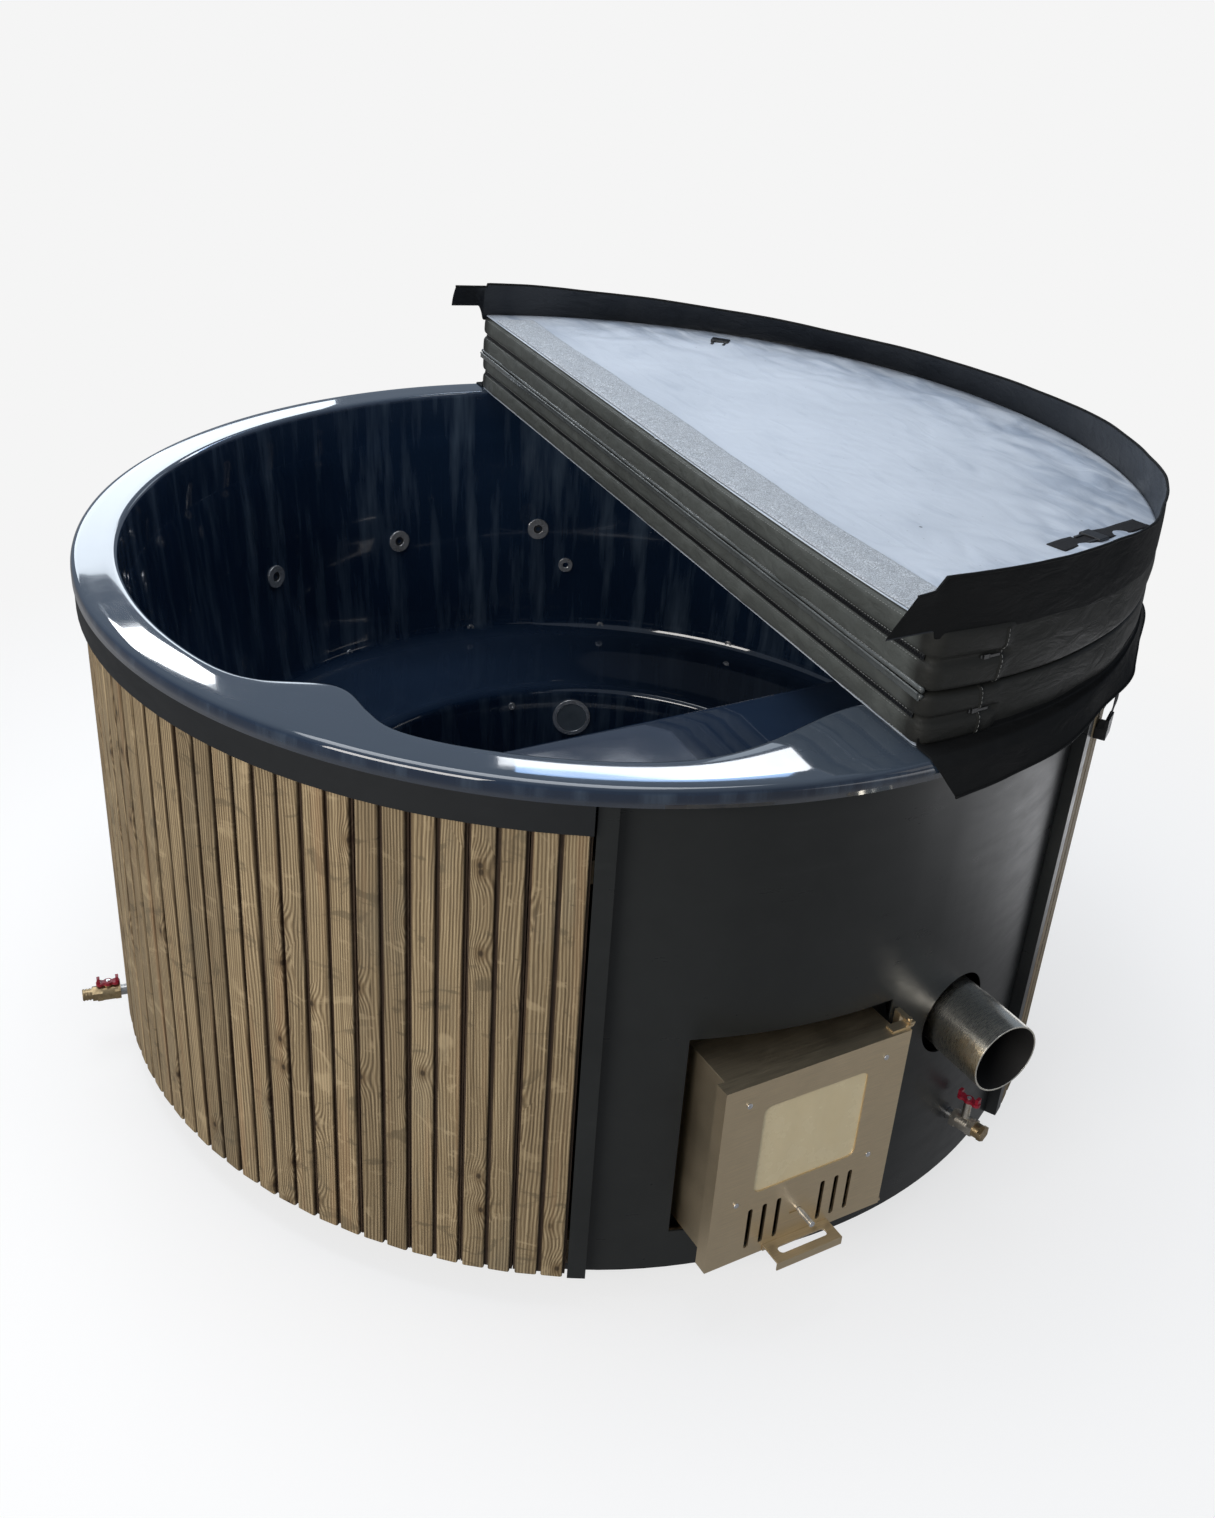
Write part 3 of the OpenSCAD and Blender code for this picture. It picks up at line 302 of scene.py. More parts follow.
def material_brushed(name, colour, rough, stretch, stain, cut=0.55, bore=None):
    """Rolled and brushed metal: fine lines one way, heat and finger stains, small scratches.

    cut is the depth of the lines; bore is a point on a pipe's axis, and its inner wall is sooted."""
    g = Surface(name)
    p = g.place()
    line = g.noise(g.scaled(p, stretch), 1.0, 4, 0.7)
    cloud = g.noise(p, 7, 5, 0.65)
    scratch = g.noise(g.scaled(p, (60, 60, 420), turn=(0.4, 0.3, 0)), 1.0, 3, 0.7)
    base = g.ramp(line, (0.3, tint(colour, 0.86)), (0.7, tint(colour, 1.1)))
    base = g.mix(g.range(cloud, 0.45, 0.75, 0, stain), base, tint(colour, 0.62))
    r = g.add(g.range(line, 0.3, 0.7, rough - 0.07, rough + 0.07), g.range(cloud, 0.4, 0.75, 0, 0.10))
    metal = 1.0
    if bore:
        spoke = g.chain("ShaderNodeVectorMath", p, bore, operation="SUBTRACT")
        facing = g.chain("ShaderNodeVectorMath", spoke, g.normal(), out=1, operation="DOT_PRODUCT")
        soot = g.range(facing, -0.03, 0.0, 1, 0)
        base = g.mix(soot, base, (0.016, 0.015, 0.014))
        r = g.add(r, g.range(soot, 0, 1, 0, 0.4))
        metal = g.range(soot, 0, 1, 1, 0)
    return g.set(Base_Color=base, Metallic=metal, Roughness=r,
                 Normal=g.bump(scratch, 0.00006, 0.3, g.bump(line, 0.00010, cut)))


def material_cast(name, colour, rough, metal=1.0):
    """Small cast or machined part, pitted and tarnished in patches."""
    g = Surface(name)
    p = g.place()
    pit = g.noise(p, 780, 3, 0.7)
    tarnish = g.noise(p, 65, 5, 0.7)
    base = g.ramp(tarnish, (0.35, colour), (0.7, tint(colour, 0.5)))
    return g.set(Base_Color=base, Metallic=metal, Normal=g.bump(pit, 0.00015, 0.5),
                 Roughness=g.range(tarnish, 0.3, 0.7, rough - 0.05, rough + 0.18))


def material_glass(name):
    """Pale sooted stove glass, cloudy and faintly streaked."""
    g = Surface(name)
    p = g.place()
    cloud = g.noise(p, 16, 5, 0.6)
    streak = g.noise(g.scaled(p, (30, 30, 5)), 1.0, 4, 0.6)
    base = g.ramp(cloud, (0.3, (0.93, 0.745, 0.43)), (0.7, (0.97, 0.80, 0.49)))
    base = g.mix(g.range(streak, 0.45, 0.75, 0, 0.12), base, (0.62, 0.50, 0.28))
    return g.set(Base_Color=base, Roughness=g.range(cloud, 0.3, 0.7, 0.16, 0.34), Coat_Weight=0.4,
                 Coat_Roughness=0.08)


def material_timber(name, light, dark):
    """Sawn timber along X: straight grain, saw marks and a few stains."""
    g = Surface(name)
    p = g.place()
    grain = g.noise(g.scaled(p, (3, 90, 90)), 1.0, 5, 0.65, 0.4)
    fibre = g.noise(g.scaled(p, (20, 900, 900)), 1.0, 3, 0.6)
    saw = g.wave(p, 60, 1.5, 2, "X")
    base = g.ramp(grain, (0.35, dark), (0.65, light))
    return g.set(Base_Color=base, Roughness=0.72, Normal=g.bump(saw, 0.0002, 0.3, g.bump(fibre, 0.0004, 0.6)))


FLUE_MIDDLE = [(low + high) / 2 for low, high in zip(*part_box("flue_pipe"))]
# Plain, coated and metal surfaces: each function's values after the name, in its own order
PALETTE = {
    material_plain: {
        "foam": ((0.70, 0.64, 0.42), 0.9, 30, 0.12, 0.002),
        "jet_plastic": ((0.02, 0.022, 0.025), 0.3),
        "buckle_plastic": ((0.010, 0.010, 0.011), 0.38, 300, 0.12, 0.00012),
        "lever_red": ((0.31, 0.009, 0.026), 0.32, 200, 0.2, 0.0002, 0.4),
        "thread": ((0.20, 0.20, 0.19), 0.55, 900),
        "lamp_cover": ((0.10, 0.12, 0.14), 0.22, 120, 0.25, 0.0002, 0.6),
    },
    material_vinyl: {
        "hinge_vinyl": ((0.085, 0.09, 0.086), 0.24, 0.0001, 0.8, 0.35),
        # The last value of cover_vinyl is the painted shade on the cover's curved side
        "cover_vinyl": ((0.078, 0.082, 0.075), 0.48, 0.0003, 0.12, 0.3, 0.85),
        "skirt_vinyl": ((0.0120, 0.0122, 0.0122), 0.56, 0.0003, 0.05, 0.12),
        "skirt_inside": ((0.009, 0.0105, 0.0135), 0.36, 0.0001, 0.5, 0.2),
    },
    material_powder: {
        "plinth_plastic": ((0.022, 0.022, 0.023), 0.6, 0.3, 0.0003),
        "edge_band": ((0.014, 0.015, 0.016), 0.55, 0.3),
        "dark_sheet": ((0.0155, 0.0168, 0.0164), 0.33, 0.42, 0.00006),
        "stove_steel": ((0.03, 0.03, 0.03), 0.6, 0.3, 0.0003),
    },
    material_cast: {
        "cast_iron": ((0.05, 0.05, 0.05), 0.65, 0.4),
        "fitting_chrome": ((0.85, 0.85, 0.86), 0.13, 0.78),
        "valve_brass": ((0.56, 0.42, 0.24), 0.28),
        "valve_nickel": ((0.86, 0.80, 0.70), 0.26),
    },
    material_web: {
        "rope_seal": ((0.42, 0.40, 0.33), 0.003),
        "webbing": ((0.010, 0.010, 0.011), 0.0013),
        "zip_tape": ((0.020, 0.021, 0.021), 0.0009),
    },
    material_brushed: {
        "pipe_steel": ((0.55, 0.55, 0.54), 0.28, (30, 900, 900), 0.2),
        "door_steel": ((0.80, 0.655, 0.445), 0.38, (16, 900, 900), 0.22, 0.3),
        "flue_steel": ((0.93, 0.88, 0.78), 0.24, (70, 1500, 70), 0.12, 0.07, FLUE_MIDDLE),
    },
    material_timber: {
        "frame_timber": ((0.50, 0.37, 0.22), (0.34, 0.23, 0.12)),
        "deck_board": ((0.36, 0.26, 0.16), (0.22, 0.15, 0.09)),
    },
    material_lining: {"cover_lining": ()},
    material_fleece: {"fleece": ()},
    material_glass: {"door_glass": ()},
}
MATERIALS = {name: make(name, *values) for make, kinds in PALETTE.items() for name, values in kinds.items()}
MATERIALS["cladding_timber"] = MATERIALS["frame_timber"]
MATERIALS["liner_gelcoat"] = MATERIALS["dark_sheet"]
SLOT = {s["node"]: s["material_slot"] for s in frame["record"]["subparts"]}
for name, o in NODES.items():
    o.data.materials.clear()
    o.data.materials.append(MATERIALS[SLOT[name]])


# ---------- Edges of the carried-over solids ----------
def modifier(o, kind, **values):
    m = o.modifiers.new(kind.title(), kind)
    for key, value in values.items():
        setattr(m, key, value)


# Nodes by the width of their worn edges, in millimetres
BEVEL = {
    2.0: ("plinth_ring",),
    1.2: ("neck_gasket",),
    1.0: ("stove_jacket", "lamp_lens", "strap_sockets", "strap_plugs", "upper_plugs", "water_port_rings",
          "base_deck", "base_joists"),
    0.9: ("door_panel", "jet_rings", "lamp_ring"),
    0.8: ("front_sheet", "top_band", "damper_knob", "drain_valve_body", "stove_valve_body", "wall_port",
          "fire_grate"),
    0.7: ("door_handle", "door_screws", "stove_valve_plug"),
    0.6: ("bay_trims", "door_neck", "door_glass", "hinge_post", "jet_nozzles", "air_nozzles", "drain_sieve"),
    0.5: ("flue_pipe", "drain_hose_tail"),
    0.4: ("glass_clamp", "damper_plate"),
    0.3: ("damper_guides",),
}


def wear_edges(o, width):
    o.data.polygons.foreach_set("use_smooth", [True] * len(o.data.polygons))
    modifier(o, "WELD", merge_threshold=0.00002)
    modifier(o, "DECIMATE", decimate_type="DISSOLVE", angle_limit=math.radians(0.5))
    modifier(o, "BEVEL", width=width, segments=2, limit_method="ANGLE", angle_limit=math.radians(40),
             use_clamp_overlap=True)
    modifier(o, "WEIGHTED_NORMAL", weight=100)


for width, names in BEVEL.items():
    for name in names:
        wear_edges(NODES[name], width * MM)


# ---------- Mesh helpers ----------
def mesh_object(name, verts, faces, material, smooth=True):
    mesh = bpy.data.meshes.new(name)
    mesh.from_pydata([tuple(v) for v in verts], [], [tuple(f) for f in faces])
    mesh.validate()
    mesh.update()
    mesh.polygons.foreach_set("use_smooth", [smooth] * len(mesh.polygons))
    mesh.materials.append(material)
    o = bpy.data.objects.new(name, mesh)
    bpy.context.scene.collection.objects.link(o)
    return o


def grid_faces(rows, cols, close_cols=False, start=0):
    """Quads over a grid of points, row by row; close_cols joins the two ends of every row."""
    faces = []
    for i in range(rows - 1):
        near, far = start + i * cols, start + (i + 1) * cols
        for j in range(cols if close_cols else cols - 1):
            k = (j + 1) % cols
            faces.append((near + j, near + k, far + k, far + j))
    return faces


def tube_faces(rows, cols, start=0):
    """Faces of a run of rings: the wall and a cap at each end."""
    last = start + (rows - 1) * cols
    caps = [list(range(start, start + cols))[::-1], list(range(last, last + cols))]
    return grid_faces(rows, cols, close_cols=True, start=start) + caps


def read_points(mesh):
    points = np.empty(len(mesh.vertices) * 3)
    mesh.vertices.foreach_get("co", points)
    return points.reshape(-1, 3)


def write_points(mesh, points):
    mesh.vertices.foreach_set("co", points.ravel())
    mesh.update()


def add_attribute(o, name, values, kind="FLOAT"):
    at = o.data.attributes.new(name, kind, "POINT")
    field = "value" if kind == "FLOAT" else "vector"
    at.data.foreach_set(field, np.asarray(values, dtype=np.float32).ravel())


def turned(points, degrees):
    c, s = math.cos(math.radians(degrees)), math.sin(math.radians(degrees))
    p = np.asarray(points, dtype=float)
    return np.stack([c * p[..., 0] - s * p[..., 1], s * p[..., 0] + c * p[..., 1], p[..., 2]], axis=-1)


def smooth_min(a, b, width):
    h = np.clip(0.5 + 0.5 * (b - a) / width, 0, 1)
    return b * (1 - h) + a * h - width * h * (1 - h)


# ---------- Cladding ----------
BOARD_PITCH = (360 - 2 * BAY_HALF) / BOARD_N
BOARD_Z, BOARD_TOP = 0.075, 0.969
END_BEVEL, END_BACK = 0.0015, 0.0012
BOARD_GAP, GROOVE_HALF, GROOVE_DEPTH = 0.0003, 0.0035, 0.008


def board_azimuth(i):
    return -90 + BAY_HALF + (i + 0.5) * BOARD_PITCH


def material_boards():
    """Stained pine: fine straight grain bent round a few small knots, wavy cross figure, painted shade deep
    in the grooves.
    """
    g = Surface("board_pine")
    at = g.attribute("grain", "Vector")
    tone = g.attribute("tone")
    groove_shade = g.attribute("groove_shade")
    across = g.split(at, 0)
    knot = g.node("ShaderNodeTexVoronoi", "Distance", {"voronoi_dimensions": "2D"}, Scale=1.0,
                  Randomness=0.95, Vector=g.scaled(at, (12, 8, 0)))
    some = g.range(g.split(knot.node.outputs["Color"], 0), 0.66, 0.68, 0, 1)
    pull = g.times(g.math("POWER", 2.718, g.times(g.times(knot, knot), -18)), some)
    bend = g.noise(g.scaled(at, (7, 0.9, 0)), 1.0, 2, 0.5)
    curl = g.noise(g.scaled(at, (22, 10, 0)), 1.0, 3, 0.6)
    phase = g.add(g.times(bend, 60.0), g.times(pull, 15.0))
    phase = g.add(phase, g.times(curl, 4.5))
    rings = g.math("SINE", g.add(g.times(across, 1100.0), phase))
    rings = g.range(rings, -1, 1, 0, 1)
    fibre = g.noise(g.scaled(at, (1500, 9, 0)), 1.0, 4, 0.7)
    streak = g.noise(g.scaled(at, (230, 2.4, 0)), 1.0, 4, 0.65)
    figure = g.noise(g.scaled(at, (9, 13, 0)), 1.0, 4, 0.6, 1.6)
    blotch = g.noise(g.scaled(at, (8, 2.6, 0)), 1.0, 4, 0.6)
    mixed = g.add(g.times(rings, 0.30), g.times(streak, 0.70))
    wood = g.ramp(mixed, (0.28, (0.12, 0.080, 0.038)), (0.5, (0.315, 0.222, 0.112)),
                  (0.72, (0.56, 0.42, 0.235)))
    wood = g.mix(g.range(fibre, 0.42, 0.70, 0, 0.66), wood, (0.085, 0.055, 0.026))
    wood = g.mix(g.range(figure, 0.59, 0.67, 0, 0.34), wood, (0.60, 0.45, 0.25))
    wood = g.mix(g.range(figure, 0.42, 0.35, 0, 0.55), wood, (0.115, 0.086, 0.046))
    wood = g.mix(g.range(blotch, 0.52, 0.78, 0, 0.5), wood, (0.21, 0.185, 0.125))
    warm = g.noise(g.scaled(at, (30, 1.3, 0)), 1.0, 2, 0.5)
    wood = g.mix(g.range(warm, 0.56, 0.74, 0, 0.5), wood, (0.34, 0.19, 0.085))
    shade = g.node("ShaderNodeHueSaturation", Value=g.range(tone, 0, 1, 0.80, 1.18), Saturation=0.95,
                   Color=wood)
    core = g.range(knot, 0.03, 0.065, 0.75, 0)
    rim = g.range(knot, 0.08, 0.17, 0.5, 0)
    shade = g.mix(g.times(rim, some), shade, (0.115, 0.066, 0.026))
    shade = g.mix(g.times(core, some), shade, (0.022, 0.012, 0.006))
    # Painted shade: the colour darkens with depth in the grooves and on the boards' back faces
    shade = g.mix(g.range(groove_shade, 0.0, 0.8, 0, 0.88), shade, (0.035, 0.018, 0.012))
    height = g.add(g.times(fibre, 0.6), g.times(rings, 0.3))
    return g.set(Base_Color=shade, Roughness=g.range(streak, 0.3, 0.7, 0.52, 0.70), Specular_IOR_Level=0.3,
                 Normal=g.bump(height, 0.0007, 0.6))


def board_profile():
    """Half-lapped board seen from above: (across, out, groove depth 0 to 1), with rounded groove edges."""
    half = 0.5 * (2 * BOARD_IN * math.tan(math.radians(BOARD_PITCH / 2)) - BOARD_GAP)
    groove, depth, thick = GROOVE_HALF, GROOVE_DEPTH, BOARD_R - BOARD_IN
    edge = [(0.0, depth), (0.0002, 0.0030), (0.0009, 0.0012), (0.0022, 0.0003), (0.0042, 0.0)]
    right = [(half, depth)] + [(half - groove - x, y) for x, y in edge]
    mid = [(groove + x, y) for x, y in reversed(edge)]
    pts = right + mid
    pts = pts + [(-x, y) for x, y in reversed(pts)]
    pts = [(half, thick)] + pts + [(-half, thick)]
    return [(x, thick - y, min(1.0, y / depth)) for x, y in pts]


def build_boards():
    """All boards as one piece, each with its own tone, stretch of grain and small step."""
    profile = board_profile()
    rng = np.random.default_rng(7)
    verts, faces, grain, tone, groove_shade = [], [], [], [], []
    levels = [BOARD_Z, BOARD_Z + END_BEVEL, BOARD_TOP - END_BEVEL, BOARD_TOP]
    inset = [END_BACK, 0, 0, END_BACK]
    for i in range(BOARD_N):
        start = len(verts)
        lift = rng.uniform(-0.0008, 0.0004)
        shift, mark = rng.uniform(0, 40), rng.uniform(0, 1)
        for z, back in zip(levels, inset):
            ring = [(BOARD_IN + max(0.0, out - back * (out > 0.001)) + (lift if out > 0.001 else 0), x, z)
                    for x, out, _ in profile]
            verts += turned(ring, board_azimuth(i)).tolist()
            grain += [(x + shift, z + 3 * shift, 0) for x, _, _ in profile]
            tone += [mark] * len(profile)
            # Depth into the groove, for the painted shade; back faces take the full shade
            groove_shade += [d if out > 0.001 else 1.0 for _, out, d in profile]
        faces += tube_faces(len(levels), len(profile), start)
    o = mesh_object("boards", verts, faces, material_boards(), smooth=False)
    add_attribute(o, "grain", grain, "FLOAT_VECTOR")
    add_attribute(o, "tone", tone)
    add_attribute(o, "groove_shade", groove_shade)
    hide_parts("cladding_boards")
    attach(o, "tub")


# ---------- Liner ----------
# Ledges inside the mouth: depth, half width in degrees; the side ones stand off the near one
NEAR_LEDGE, NEAR_WIDTH = 0.125, 15.5
SIDE_LEDGE, SIDE_WIDTH, SIDE_AT = 0.090, 7, 59
LIP_DROP, LINER_SKIN = 0.030, 0.0075
FLOOR_START = 0.02
AROUND, MAX_GAP = 640, 0.035


def fillet(points, radii, steps):
    """Rounds a run of corners. points: (n, k, 2) for k directions; returns the denser run."""
    out = [points[0]]
    for i in range(1, len(points) - 1):
        a, b, c = points[i - 1], points[i], points[i + 1]
        la = np.linalg.norm(a - b, axis=1, keepdims=True)
        lc = np.linalg.norm(c - b, axis=1, keepdims=True)
        cut = np.minimum(radii[i], 0.45 * np.minimum(la, lc))
        p, q = b + (a - b) * cut / np.maximum(la, 1e-9), b + (c - b) * cut / np.maximum(lc, 1e-9)
        for t in np.linspace(0, 1, steps[i]):
            out.append((1 - t) ** 2 * p + 2 * t * (1 - t) * b + t * t * q)
    out.append(points[-1])
    return out


def liner_profile(az):
    """Corners of the moulded surface for each direction, from the floor's middle out to the lip."""
    a = np.radians(az)
    off = (az + 90 + 180) % 360 - 180
    ledge = NEAR_LEDGE * np.exp(-(off / NEAR_WIDTH) ** 2)
    ledge = ledge + SIDE_LEDGE * np.exp(-((np.abs(off) - SIDE_AT) / SIDE_WIDTH) ** 2)
    plan = MOUTH_R + 0.002 - ledge
    toward = np.maximum(-np.sin(a), 1e-3)
    step = np.minimum(STEP_D / toward, 3.0)
    slope = (MOUTH_R - BENCH_R) / (RIM_TOP - BENCH_Z)

    def wall(z):
        return smooth_min(np.full_like(a, BENCH_R + (z - BENCH_Z) * slope), plan, 0.03)

    def riser(z):
        return np.full_like(a, FOOT_R - (BENCH_Z - z) * FOOT_DRAFT / (BENCH_Z - FLOOR_Z))

    def pack(r, z):
        return np.stack([r, np.full_like(r, z)], axis=1)

    low, high = smooth_min(riser(FLOOR_Z), step, 0.05), smooth_min(riser(BENCH_Z), step, 0.05)
    seat = np.maximum(smooth_min(wall(BENCH_Z), step, 0.06), high + 0.002)
    under = np.maximum(smooth_min(wall(STEP_Z), step, 0.06), high + 0.003)
    shelf = np.maximum(wall(STEP_Z), under + 0.0001)
    top = np.maximum(wall(RIM_TOP), under + 0.002)
    one = np.ones_like(a)
    return [pack(one * FLOOR_START, FLOOR_Z), pack(low, FLOOR_Z), pack(high, BENCH_Z), pack(seat, BENCH_Z),
            pack(under, STEP_Z), pack(shelf, STEP_Z), pack(top, RIM_TOP), pack(one * RIM_R, RIM_TOP),
            pack(one * RIM_R, RIM_TOP - LIP_DROP)]


def build_liner():
    """The liner, its rim, ledges, bench and footwell as one moulded skin."""
    n = AROUND
    az = np.arange(n) * 360 / n
    corners = liner_profile(az)
    # Rounding radius and number of points at each corner of the profile
    radii = [0, 0.045, 0.028, 0.050, 0.022, 0.022, 0.012, 0.014, 0]
    steps = [0, 7, 7, 8, 7, 7, 6, 7, 0]
    run = fillet(corners, radii, steps)
    dense = [run[0]]
    for p, q in zip(run[:-1], run[1:]):
        gap = float(np.max(np.linalg.norm(p - q, axis=1)))
        pieces = max(1, int(gap / MAX_GAP))
        dense += [p + (q - p) * (k + 1) / pieces for k in range(pieces)]
    rows = np.array(dense)
    a = np.radians(az)
    x, y = rows[..., 0] * np.cos(a), rows[..., 0] * np.sin(a)
    verts = np.stack([x, y, rows[..., 1]], axis=-1).reshape(-1, 3)
    faces = [f[::-1] for f in grid_faces(len(dense), n, close_cols=True)]
    verts = np.vstack([verts, [[0, 0, FLOOR_Z]]])
    faces += [(len(verts) - 1, j, (j + 1) % n) for j in range(n)]
    o = mesh_object("tub_moulding", verts, faces, material_gelcoat())
    modifier(o, "SOLIDIFY", thickness=LINER_SKIN, offset=-1)
    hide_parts("liner")
    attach(o, "tub")


def material_gelcoat():
    """Deep blue-black gel coat under a clear gloss, with wiped streaks, dust and a few dried drops; the
    streaks also paint a sheen on the walls, and a painted sky reflection lightens the upward faces near the
    rim.
    """
    g = Surface("gelcoat")
    p = g.place()
    cloud = g.noise(p, 2.3, 4, 0.6)
    streak = g.noise(g.scaled(p, (26, 26, 1.6)), 1.0, 4, 0.6)
    fleck = g.cells(p, 900)
    base = g.ramp(cloud, (0.3, (0.0045, 0.0115, 0.028)), (0.7, (0.0085, 0.0205, 0.047)))
    up = g.math("ABSOLUTE", g.split(g.normal(), 2))
    # Wiped streaks, lighter on upright faces: partly real streaks, partly a painted sheen on the walls
    streaks_and_sheen = g.times(g.range(streak, 0.48, 0.72, 0, 0.50), g.range(up, 0.25, 0.6, 1, 0.08))
    base = g.mix(streaks_and_sheen, base, (0.085, 0.12, 0.165))
    # Painted sky reflection: upward faces near the rim get a lighter blue-grey colour
    painted_sky_reflection = g.times(g.range(up, 0.5, 0.95, 0.1, 1), g.range(g.split(p, 2), 0.97, 1.02, 0.08, 0.62))
    base = g.mix(painted_sky_reflection, base, (0.074, 0.093, 0.115))
    base = g.mix(g.range(fleck, 0.0, 0.18, 0.10, 0), base, (0.10, 0.16, 0.22))
    smear = g.noise(g.scaled(p, (7, 7, 2)), 1.0, 5, 0.65)
    return g.set(Base_Color=base, Roughness=g.range(smear, 0.35, 0.75, 0.03, 0.11), Coat_Weight=0.7,
                 Coat_Roughness=0.02, Specular_IOR_Level=0.55,
                 Normal=g.bump(g.noise(p, 5, 2), 0.004, 0.08))


# ---------- Cover ----------
# Each half is shaped lying flat: X from the fold, Z up from its lining; in_lower and in_upper place it
FOLD_TILT = 2 * math.atan(SLOPE)
CORNER_R = 0.018
FACE_X = 0.009
LINING = 0.001
CASE_TOP = THICK - 0.0005
ROLL_OUT = 0.0072
ZIP_END, ZIP_FADE = 0.115, 0.012
SKIRT_CLOTH, LINING_CLOTH, FLEECE_CLOTH, WEB_CLOTH, TAPE_CLOTH = 0.0018, 0.0012, 0.002, 0.0014, 0.0012


def in_cover(points):
    """From the cover's own frame, with its fold at X = 0, to the shared frame."""
    p = np.asarray(points, dtype=float) + np.array([FOLD_X, 0, 0])
    return turned(p, COVER_TURN)


def in_lower(points):
    """Places points of the lower half, which lies on the rim."""
    return in_cover(np.asarray(points, dtype=float) + np.array([0, 0, COVER_Z]))


def crown(x, y):
    """Extra height of the upper half's soft case, most at its near corner."""
    az = np.degrees(np.arctan2(y, x))
    reach = np.clip(np.hypot(x, y) / PANEL_R, 0, 1)
    return 0.019 * np.exp(-((az + 80) / 24) ** 2) * reach ** 3


def in_upper(points):
    """Places points of the upper half, turned over on to the lower one."""
    p = np.asarray(points, dtype=float)
    rise = THICK - p[..., 2]
    rise = rise + crown(p[..., 0], p[..., 1]) * np.clip(rise / THICK, 0, 1)
    c, s = math.cos(FOLD_TILT), math.sin(FOLD_TILT)
    q = np.stack([c * p[..., 0] + s * rise, p[..., 1], FOLD_Z - s * p[..., 0] + c * rise], axis=-1)
    return in_cover(q)


def half_of(upper):
    """Name and placing of one half of the cover."""
    return ("upper", in_upper) if upper else ("lower", in_lower)


def rough(points, scale, amount, seed=0.0):
    """Smooth noise for each point, about -amount to amount."""
    sx, sy, sz = scale
    return np.array([noise.noise(Vector((p[0] * sx + seed, p[1] * sy - seed, p[2] * sz + 2 * seed)))
                     for p in np.asarray(points).reshape(-1, 3)]) * amount


def case_loop():
    """Plan of one half, anticlockwise: (x, y, outward x, outward y, share of straight face)."""
    middle = FACE_X + CORNER_R
    half = math.sqrt((PANEL_R - CORNER_R) ** 2 - middle ** 2)
    end = math.atan2(half, middle)

    def corner(sign, turns):
        spokes = [(math.cos(t), math.sin(t)) for t in turns]
        return [(middle + CORNER_R * c, sign * half + CORNER_R * q, c, q, 1) for c, q in spokes]

    out = [(FACE_X, y, -1, 0, 1) for y in np.linspace(half, -half, 372)[:-1]]
    out += corner(-1, np.linspace(math.pi, math.pi + (math.pi - end), 8))
    for t in np.linspace(-end, end, 400)[1:-1]:
        edge = min(PANEL_R * (t + end), PANEL_R * (end - t))
        share = min(1, max(0, (ZIP_END + ZIP_FADE - edge) / ZIP_FADE))
        out.append((PANEL_R * math.cos(t), PANEL_R * math.sin(t), math.cos(t), math.sin(t), share))
    out += corner(1, np.linspace(end, math.pi, 8)[:-1])
    return np.array(out)


def build_case(upper):
    """The sewn vinyl case of one half: rolled bands on the straight face, a soft curved side."""
    tag, place = half_of(upper)
    x, y, nx, ny, share = case_loop().T
    seed = 5.3 if upper else 1.7
    # Middle of the rings that close the flat sides
    centre = 0.38

    def ring(scale):
        return centre + (x - centre) * scale, y * scale

    rows = []
    for scale in (0.25, 0.5, 0.7, 0.85, 0.93, 0.97):
        rx, ry = ring(scale)
        rows.append(np.stack([rx, ry, CASE_TOP - SLOPE * rx], axis=1))
    levels = np.concatenate([[0.0, 0.02, 0.05], np.linspace(0.09, 0.91, 25), [0.95, 0.98, 1.0]])
    for level in levels[::-1]:
        z = LINING + (CASE_TOP - SLOPE * x - LINING) * level
        edge = min(level, 1 - level)
        inset = 0.006 * (1 - np.sqrt(np.clip(1 - (1 - np.clip(edge / 0.07, 0, 1)) ** 2, 0, 1)))
        across = np.clip((2 * edge - 0.04) / 0.86, 0, 1)
        roll = np.sqrt(np.clip(1 - (2 * across - 1) ** 4, 0, 1)) * ROLL_OUT
        pts = np.stack([x, y, z], axis=1)
        puff = 0.0022 * math.sin(math.pi * level) + rough(pts, (7, 7, 22), 0.0022, seed)
        pucker = rough(pts, (9, 34, 14), 0.0021, seed + 3) * np.clip(roll / ROLL_OUT, 0, 1)
        pucker = pucker + rough(pts, (4, 7, 20), 0.0020, seed + 9)
        bulge = share * (roll + pucker - 0.001) + (1 - share) * puff - inset
        rows.append(np.stack([x + nx * bulge, y + ny * bulge, z], axis=1))
    for scale in (0.985, 0.95, 0.85, 0.6, 0.3):
        rows.append(np.stack([*ring(scale), np.full_like(x, LINING)], axis=1))
    faces = tube_faces(len(rows), len(x))
    if upper:
        faces = [f[::-1] for f in faces]
    o = mesh_object(tag + "_case", place(rows).reshape(-1, 3), faces, MATERIALS["cover_vinyl"])
    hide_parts(tag + "_panel")
    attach(o, "cover_" + tag)
    return o


def tube_along(path, radius, sides=10):
    """Vertices and faces of a round tube along points, with closed ends."""
    path = np.asarray(path, dtype=float)
    ahead = np.gradient(path, axis=0)
    ahead /= np.linalg.norm(ahead, axis=1, keepdims=True)
    ref = np.array([0.0, 0.0, 1.0])
    side = np.cross(ahead, ref)
    side /= np.maximum(np.linalg.norm(side, axis=1, keepdims=True), 1e-9)
    up = np.cross(side, ahead)
    t = np.arange(sides) * 2 * math.pi / sides
    radius = np.broadcast_to(np.asarray(radius, dtype=float), (len(path),))
    ring = path[:, None] + radius[:, None, None] * (side[:, None] * np.cos(t)[None, :, None]
                                                  + up[:, None] * np.sin(t)[None, :, None])
    return ring.reshape(-1, 3), [f[::-1] for f in tube_faces(len(path), sides)]


